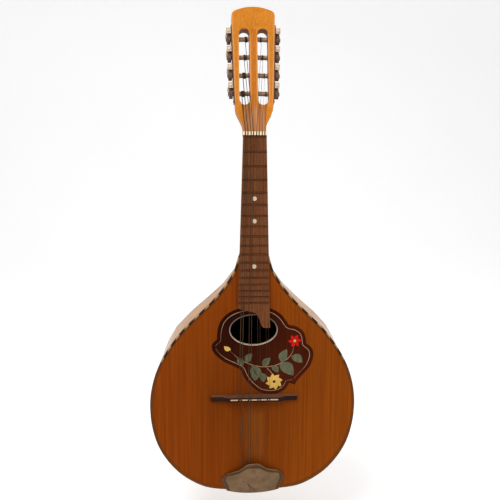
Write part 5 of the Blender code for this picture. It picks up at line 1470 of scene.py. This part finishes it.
@dataclass(frozen=True)
class Cover:
    """The pressed cover over the tailpiece: a flange, a groove and a low arched field."""

    reach: float = 44.2 * MM
    mouth_half: float = 35.5 * MM
    widest_half: float = 41.2 * MM
    crown: float = 8.4 * MM
    crown_at_tail: float = 1.6 * MM
    raised: float = 1.3 * MM
    groove: float = 0.35 * MM
    thickness: float = 0.8 * MM
    over_board: float = 0.3 * MM
    corner: float = 1.2 * MM
    skirt: float = 12 * MM
    tilt: float = math.radians(3.0)
    corners_up: float = 2.3 * MM
    bow: tuple[tuple[float, float], ...] = (
        (0, 0), (0.2, 0.016), (0.355, 0.098), (0.495, 0.182), (0.74, 0.255), (0.93, 0.320), (1, 0.375),
    )
    across_count: int = 81
    down_count: int = 49
    body: Body = field(default_factory=Body)

    def surface(self) -> tuple[np.ndarray, dict[str, np.ndarray]]:
        """The outer face, where its flange lies and the dirt and painted shadow in its groove.

        Across the cover the height follows (1 - u^2)^0.75 of the crown, where u runs from edge to edge; down the
        cover the crown falls to almost nothing at the tail. Inside the flange the field stands up by a step that
        is smoothed over a few millimetres, with a shallow groove outside it.

        Returns:
            Points as rows by columns by three, and for each name a value from 0 to 1 at every point.
        """
        u = np.linspace(-1, 1, self.across_count)
        v = np.linspace(0, 1, self.down_count)
        bow = smooth_curve(self.bow, 80)
        widths = smooth_curve([(0, 0), (0.12, 0.65), (0.3, 1), (0.45, 0.95), (0.6, 0.6), (0.8, 0.2), (1, -0.2)], 80)
        falls = smooth_curve([(0, 1), (0.25, 0.97), (0.5, 0.83), (0.75, 0.5), (0.92, 0.16), (1, 0)], 80)
        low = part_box("tailpiece_cover")[0].z - LAYOUT.zero_fret + self.corner
        rim = self.body.rim(600)
        rim = rim[int(np.argmax(rim[:, 0])):][::-1]
        half = self.mouth_half + (self.widest_half - self.mouth_half) * np.interp(v, widths[:, 0], widths[:, 1])
        x = half[:, None] * u[None, :]
        mouth = low - self.corner + self.reach * (1 - np.interp(np.abs(u), bow[:, 0], bow[:, 1]))
        end = low + np.interp(np.abs(x[-1]), rim[:, 0], rim[:, 1]) - rim[0, 1]
        end += self.corners_up * (x[-1] / self.mouth_half) ** 2
        z = mouth + (end - mouth) * v[:, None]
        crown = self.crown_at_tail + (self.crown - self.crown_at_tail) * np.interp(v, falls[:, 0], falls[:, 1])
        arch = np.maximum(0, 1 - u**2) ** 0.75
        inside = np.clip((0.875 - np.abs(u)) / 0.05, 0, 1) * np.clip((v[:, None] - 0.125) / 0.05, 0, 1)
        inside = inside**2 * (3 - 2 * inside)
        # The flange's darkening stops short of the mouth's edge, leaving a painted highlight line along it.
        flange = (1 - inside) * np.clip((v[:, None] - 0.015) / 0.02, 0, 1)
        inside = inside * np.clip((1 - v[:, None]) / 0.3, 0, 1)
        # The groove's mask: dirt and a painted shadow line along the raised field's edge.
        side = np.exp(-((np.abs(u) - 0.885) / 0.016) ** 2) * (v[:, None] > 0.12)
        top = np.exp(-((v[:, None] - 0.12) / 0.016) ** 2) * (np.abs(u) < 0.89)
        dirt_and_shade = np.maximum(side, top) * np.clip((1 - v[:, None]) / 0.25, 0, 1)
        y = -(self.over_board + self.thickness + crown[:, None] * arch + self.raised * inside - self.groove * dirt_and_shade)
        z = z + x * math.tan(self.tilt) * (1 - 0.8 * v[:, None])
        face = np.stack([x, y, z], axis=-1)
        turns = np.linspace(0, math.pi / 2, 6)[1:, None, None]
        bend = face[-1] + self.corner * np.concatenate(
            [0 * turns, 1 - np.cos(turns), -np.sin(turns)], axis=-1)
        last = bend[-1:].copy()
        last[..., 1] = self.skirt
        grid = np.concatenate([face, bend, last])
        return grid, {
            "groove": np.concatenate([dirt_and_shade, np.zeros((6, self.across_count))]),
            "flange": np.concatenate([flange, np.repeat(flange[-1:], 6, axis=0)]),
        }

    def make(self) -> None:
        """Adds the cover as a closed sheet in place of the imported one."""
        outer, marks = self.surface()
        down, across = np.gradient(outer, axis=0), np.gradient(outer, axis=1)
        inwards = np.cross(down, across)
        inwards /= np.linalg.norm(inwards, axis=2, keepdims=True)
        inwards *= math.copysign(1, inwards[self.down_count // 2, self.across_count // 2, 1])
        mesh = sheet("cover_pressed", outer, outer + inwards * self.thickness)
        for name, mark in marks.items():
            values = np.concatenate([mark.ravel(), np.zeros(mark.size)]).astype(np.float32)
            mesh.attributes.new(name, "FLOAT", "POINT").data.foreach_set("value", values)
        add_piece("cover_pressed", mesh, Finishes.COVER, COVER, replaces=("tailpiece_cover",))


@dataclass(frozen=True)
class Machines:
    """The tuning machines: toothed wheels, rollers, worms, buttons and the plates' screws."""

    fit: float = 0.3 * MM
    plate: float = 1.0 * MM
    tab: float = 1.2 * MM
    gear_off_plate: float = 0.9 * MM
    gear_radius: float = 5.9 * MM
    gear_root: float = 5.1 * MM
    gear_thickness: float = 4.4 * MM
    teeth: int = 14
    hub: float = 2.7 * MM
    screw_rise: float = 1.3 * MM
    spindle: float = 1.8 * MM
    spindle_in_bar: float = 3.3 * MM
    end_play: float = 0.5 * MM
    worm_out: float = 4.3 * MM
    worm_centres: float = 9.6 * MM
    worm_core: float = 2.0 * MM
    worm_thread: float = 0.75 * MM
    worm_turns: float = 3.5
    shaft: float = 1.2 * MM
    tab_span: float = 13.6 * MM
    button_behind: float = 2.4 * MM
    button_length: float = 10.5 * MM
    button_radius: float = 6.0 * MM
    button_flat: float = 0.62
    plate_screw: float = 1.5 * MM

    def wheel(self, axis: Matrix, low: float, high: float) -> bpy.types.Mesh:
        """A toothed wheel between two heights on its axis."""
        step = 2 * math.pi / self.teeth
        spots = [(-0.32, self.gear_root), (-0.20, self.gear_radius), (0.20, self.gear_radius), (0.32, self.gear_root)]
        turns = np.array([n * step + share * step for n in range(self.teeth) for share, _ in spots])
        radius = np.array([r for _ in range(self.teeth) for _, r in spots])
        levels = [(low, 0.95), (low + 0.25 * MM, 1.0), (high - 0.25 * MM, 1.0), (high, 0.95)]
        rings = np.array([
            np.stack([radius * grow * np.cos(turns), radius * grow * np.sin(turns), np.full(len(turns), z)], axis=1)
            for z, grow in levels
        ])
        return skin("wheel", moved(rings, axis))

    def roller(self, side: Side, number: int) -> None:
        """Adds a gear wheel on its spindle and the roller that the strings wind on."""
        along = number * HEAD_SIDES.roller_pitch
        axis = HEAD_SIDES.cross_axis(side, along)
        inner = self.fit + self.plate + self.gear_off_plate
        outer = inner + self.gear_thickness
        wall = HEAD_SIDES.distance(HEAD_SIDES.slot_inner + HEAD_SIDES.slot_width, along) - self.end_play
        bar = HEAD_SIDES.distance(HEAD_SIDES.slot_inner, along) + self.end_play
        hub = [
            (self.spindle, wall), (self.spindle, self.plate + 2 * self.fit), (self.hub, self.plate + 2 * self.fit),
            (self.hub, outer + 0.45 * self.screw_rise), (0.9 * self.hub, outer + 0.75 * self.screw_rise),
            (0.6 * self.hub, outer + 0.95 * self.screw_rise), (0.2 * self.hub, outer + self.screw_rise),
        ]
        name = f"{side.word}_gear_{number + 1}"
        mesh = joined(f"{name}_wheel", [
            self.wheel(axis, inner, outer), skin("hub", lathe(hub, 20, axis)),
        ])
        add_piece(f"{name}_wheel", mesh, Finishes.GEAR, name,
                  replaces=(f"{side.word}_roller_{number + 1}",))
        radius = HEAD_SIDES.roller_radius
        barrel = [
            (self.spindle, bar - self.end_play - self.spindle_in_bar), (self.spindle, bar), (radius, bar),
            (radius, bar + 1.0 * MM), (radius - 0.15 * MM, bar + 1.3 * MM), (radius - 0.15 * MM, wall - 1.3 * MM),
            (radius, wall - 1.0 * MM), (radius, wall), (self.spindle, wall),
        ]
        add_piece(f"{name}_roller", skin(f"{name}_roller", lathe(barrel, 20, axis)), Finishes.ROLLER,
                  name)

    def worm(self, side: Side, number: int) -> None:
        """Adds a worm on its shaft, and its button."""
        along = number * HEAD_SIDES.roller_pitch + self.worm_centres
        axis = HEAD_SIDES.depth_axis(side, self.worm_out, along)
        front = (HEAD_SIDES.thickness - self.tab_span) / 2
        back = front + self.tab_span
        near = HEAD_SIDES.thickness + self.button_behind
        first, last = front + self.tab + self.fit, back - self.tab - self.fit
        turns = np.linspace(0, 2 * math.pi, 20, endpoint=False)
        height = np.linspace(first, last, 36)
        # The thread is a wave that turns once round the shaft in each of the worm's turns.
        phase = 2 * math.pi * self.worm_turns * (height - first)[:, None] / (last - first) - turns[None, :]
        ends = np.clip(np.minimum(height - first, last - height) / (0.8 * MM), 0, 1)[:, None]
        radius = self.worm_core + self.worm_thread * ends * np.clip(0.5 + 0.8 * np.cos(phase), 0, 1)
        thread = np.stack([
            radius * np.cos(turns), radius * np.sin(turns), np.broadcast_to(height[:, None], radius.shape),
        ], axis=-1)
        shaft = [
            (0.5 * self.shaft, front - 4 * self.fit), (1.3 * self.shaft, front - 3.4 * self.fit),
            (1.6 * self.shaft, front - self.fit), (self.shaft, front - self.fit),
            (self.shaft, near + 0.3 * self.button_length), (0.3 * self.shaft, near + 0.3 * self.button_length),
        ]
        name = f"{side.word}_tuner_{number + 1}"
        add_piece(f"{name}_worm", skin(f"{name}_worm", moved(thread, axis)), Finishes.WORM, name,
                  replaces=(f"{side.word}_worm_{number + 1}",))
        add_piece(f"{name}_shaft", skin(f"{name}_shaft", lathe(shaft, 16, axis)), Finishes.SHAFT, name)
        share = np.linspace(0, 1, 22)
        bulge = np.sin(math.pi * np.clip(0.13 + 0.87 * share, 0, 1) ** 0.85) ** 0.62
        profile = [
            (max(float(r) * self.button_radius, 0.3 * MM), near + s * self.button_length) for s, r in zip(share, bulge)
        ]
        button = skin(f"{name}_knob", lathe(profile, 28, axis, (self.button_flat, 1.0)))
        add_piece(f"{name}_knob", button, Finishes.BUTTON, name,
                  replaces=(f"{side.word}_button_{number + 1}",))

    def screws(self, side: Side) -> None:
        """Adds the round-headed screws that hold a plate to the head."""
        outside = self.fit + self.plate
        meshes = []
        places = [-9.4 * MM] + [15.2 * MM + n * HEAD_SIDES.roller_pitch for n in range(HEAD_SIDES.count)]
        for along in places:
            radius = self.plate_screw
            dome = [
                (radius, outside - 0.05 * MM), (radius, outside + 0.25 * MM), (0.85 * radius, outside + 0.55 * MM),
                (0.55 * radius, outside + 0.75 * MM), (0.1 * radius, outside + 0.8 * MM),
            ]
            meshes.append(skin("screw", lathe(dome, 16, HEAD_SIDES.cross_axis(side, along))))
        name = f"{side.word}_plate_screws"
        add_piece(name, joined(name, meshes), Finishes.WORM)

    def make(self) -> None:
        """Adds everything on both sides."""
        for side in Side:
            for number in range(HEAD_SIDES.count):
                self.roller(side, number)
                self.worm(side, number)
            self.screws(side)


@dataclass(frozen=True)
class Strings:
    """Eight strings, from their turns on the rollers to the tailpiece's hooks."""

    letters: tuple[str, ...] = ("g", "d", "a", "e")
    diameters: tuple[float, ...] = (1.0 * MM, 0.7 * MM, 0.42 * MM, 0.3 * MM)
    nut_course: float = 6.8 * MM
    nut_pair: float = 3.0 * MM
    saddle_course: float = 12.2 * MM
    saddle_pair: float = 3.0 * MM
    bridge_shift: float = 1.0 * MM
    hook_course: float = 8.0 * MM
    hook_pair: float = 2.8 * MM
    fret_top: float = -6.0 * MM
    clear: float = 0.12 * MM
    turns: int = 4
    points_per_turn: int = 20
    hook_over_tailpiece: float = 21.72 * MM
    hook_behind_front: float = 1.3 * MM

    def winding(self, side: Side, number: int, nut: Vector, radius: float) -> list[Vector]:
        """The turns on a roller, ending where the string leaves for the nut.

        Args:
            side: The head's side.
            number: The roller, from 0 at the nut.
            nut: Where the string crosses the nut.
            radius: The string's radius.

        Returns:
            The turns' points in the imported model's frame.
        """
        frame_of_side = HEAD_SIDES.frame(side)
        along = number * HEAD_SIDES.roller_pitch
        own = frame_of_side.inverted() @ nut
        coil = HEAD_SIDES.roller_radius + radius
        to_nut = np.array([own.z - along, side.value * own.y - HEAD_SIDES.roller_depth])
        leave = math.atan2(to_nut[1], to_nut[0]) + math.acos(coil / np.hypot(*to_nut))
        start = HEAD_SIDES.distance(HEAD_SIDES.slot_inner + HEAD_SIDES.slot_width * (0.80 - 0.13 * number), along)
        points = []
        for step in range(self.turns * self.points_per_turn, -1, -1):
            turned = 2 * math.pi * step / self.points_per_turn
            points.append(frame_of_side @ Vector((
                start - 2.04 * radius * turned / (2 * math.pi),
                side.value * (HEAD_SIDES.roller_depth + coil * math.sin(leave + turned)),
                along + coil * math.cos(leave + turned),
            )))
        return points

    def make(self) -> None:
        """Adds the eight strings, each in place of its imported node."""
        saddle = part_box("saddle")
        hooks_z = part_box("tailpiece")[0].z + self.hook_over_tailpiece
        for index in range(8):
            number, twin = divmod(index, 2)
            course, offset = number - 1.5, twin - 0.5
            radius = self.diameters[number] / 2
            side = Side.BASS if course < 0 else Side.TREBLE
            roller = index if side is Side.BASS else 7 - index
            over = self.fret_top - self.clear - radius
            nut_x = course * self.nut_course + offset * self.nut_pair
            nut = LAYOUT.at(nut_x, over, 6.0 * MM)
            saddle_x = self.bridge_shift + course * self.saddle_course + offset * self.saddle_pair
            saddle_y = saddle[0].y - self.clear - radius
            points = self.winding(side, roller, nut, radius)
            points += [
                nut, LAYOUT.at(nut_x, over, 0), Vector((saddle_x, saddle_y, (saddle[0].z + saddle[1].z) / 2)),
                Vector((course * self.hook_course + offset * self.hook_pair,
                        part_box("tailpiece")[0].y + self.hook_behind_front, hooks_z)),
            ]
            word = f"string_{self.letters[number]}_{('bass', 'treble')[twin]}"
            curve = bpy.data.curves.new(f"{word}_wire", "CURVE")
            curve.dimensions = "3D"
            curve.bevel_depth = radius
            curve.bevel_resolution = 2
            curve.use_fill_caps = True
            spline = curve.splines.new("POLY")
            spline.points.add(len(points) - 1)
            for point, place in zip(spline.points, points):
                point.co = (*place, 1)
            wound = number < 2
            finish = Finishes.WOUND if wound else Finishes.STEEL
            add_piece(f"{word}_wire", curve, finish, replaces=(word,))


@dataclass(frozen=True)
class Studio:
    """The photograph's point of view, plain light and a pale floor."""

    camera: tuple[float, float, float] = (-61.7 * MM, -885.9 * MM, 8.3 * MM)
    aim: tuple[float, float, float] = (-5.0 * MM, 0.0, -140.0 * MM)
    roll: float = math.radians(0.29)
    focal_share: float = 722.2 / 500
    sensor: float = 36.0
    floor_drop: float = 56 * MM
    backdrop: tuple[float, float, float] = (0.90, 0.90, 0.90)
    floor_glow: float = 0.25
    room_light: float = 0.56

    def add_camera(self) -> None:
        """Places the camera."""
        data = bpy.data.cameras.new("camera")
        data.sensor_width = self.sensor
        data.lens = self.sensor * self.focal_share
        camera = bpy.data.objects.new("camera", data)
        bpy.context.scene.collection.objects.link(camera)
        place, aim = LAYOUT.at(*self.camera), LAYOUT.at(*self.aim)
        turn = (aim - place).to_track_quat("-Z", "Y").to_matrix().to_4x4()
        camera.matrix_world = Matrix.Translation(place) @ turn @ Matrix.Rotation(self.roll, 4, "Z")
        bpy.context.scene.camera = camera

    def add_light(self, name: str, place: tuple[float, float, float], size: float, watts: float) -> None:
        """Adds a soft square light aimed at the body."""
        data = bpy.data.lights.new(name, "AREA")
        data.size = size
        data.energy = watts
        light = bpy.data.objects.new(name, data)
        bpy.context.scene.collection.objects.link(light)
        light.location = place
        aim = LAYOUT.at(0, 0, -200 * MM)
        light.rotation_euler = (aim - light.location).to_track_quat("-Z", "Y").to_euler()

    def add_floor(self) -> None:
        """Adds a pale floor that sweeps up behind the instrument, low enough for the cover to slide off."""
        low = CAD_BOUNDS[0].z - self.floor_drop
        bend = [(-3.0, 0.0), (1.6, 0.0)]
        bend += [(1.6 + 0.8 * math.sin(t), 0.8 - 0.8 * math.cos(t)) for t in np.linspace(0.1, math.pi / 2, 10)]
        bend.append((2.4, 4.0))
        points = [(x, y, low + z) for x in (-5.0, 5.0) for y, z in bend]
        count = len(bend)
        faces = [(i, i + 1, count + i + 1, count + i) for i in range(count - 1)]
        floor = bpy.data.objects.new("floor", mesh_from("floor", np.array(points), faces))
        bpy.context.scene.collection.objects.link(floor)
        tree = NodeTree("floor")
        grain = tree.noise(tree.place((1.0, 1.0, 1.0)), 3.0)
        colour = tree.ramp(grain, [(0.0, self.backdrop), (1.0, tuple(c * 1.03 for c in self.backdrop))])
        glow = tree.math("MULTIPLY", tree.seen(), self.floor_glow)
        floor.data.materials.append(tree.finish(
            Base_Color=colour, Roughness=0.9, Specular_IOR_Level=0.0, Emission_Color=(1.0, 1.0, 1.0),
            Emission_Strength=glow,
        ))

    def add_world(self) -> None:
        """Fills the room with even white light."""
        world = bpy.data.worlds.new("room")
        world.use_nodes = True
        tree = NodeTree.of(world.node_tree)
        background = tree.nodes["Background"]
        background.inputs["Color"].default_value = (1, 1, 1, 1)
        tree.feed(background.inputs["Strength"], tree.span(tree.seen(), 0.0, 1.0, self.room_light, 1.0))
        bpy.context.scene.world = world
        bpy.context.scene.view_settings.view_transform = "Standard"

    def make(self) -> None:
        """Adds camera, lights, floor and world."""
        self.add_camera()
        self.add_light("key", (-0.7, -1.2, 1.5), 0.9, 19)
        self.add_light("fill", (1.2, -1.3, 0.5), 1.4, 5)
        self.add_light("back", (0.3, 1.2, 1.4), 1.2, 10)
        self.add_floor()
        self.add_world()


NODE_FINISHES = {
    Finishes.HEAD: ("neck_and_head",),
    Finishes.ROSEWOOD: ("fingerboard",),
    Finishes.BONE: ("nut",),
    Finishes.RING: ("soundhole_ring",),
    Finishes.SOUNDBOARD: ("soundboard",),
    Finishes.GUARD: ("pickguard",),
    Finishes.MAPLE: tuple(f"rib_{number}" for number in range(1, 10, 2)),
    Finishes.MAPLE_DARKER: tuple(f"rib_{number}" for number in range(2, 10, 2)),
    Finishes.INSIDE: ("neck_block", "tail_block", "rim_lining", "upper_brace", "lower_brace"),
    Finishes.BRIDGE: ("bridge",),
    Finishes.NICKEL: ("tailpiece",),
    Finishes.TUNER: tuple(f"{side.word}_tuner_plate" for side in Side),
}


def main() -> None:
    """Builds the whole scene."""
    logging.basicConfig(level=logging.INFO)
    Studio().make()
    for finish, nodes in NODE_FINISHES.items():
        for node in nodes:
            WARDROBE.dress_node(node, finish)
    Binding().make()
    Body().rib_lines()
    Clasp().make()
    Fretwork().make()
    GuardInlay().make()
    Saddle().make()
    Cover().make()
    Machines().make()
    Strings().make()


if __name__ == "__main__":
    main()
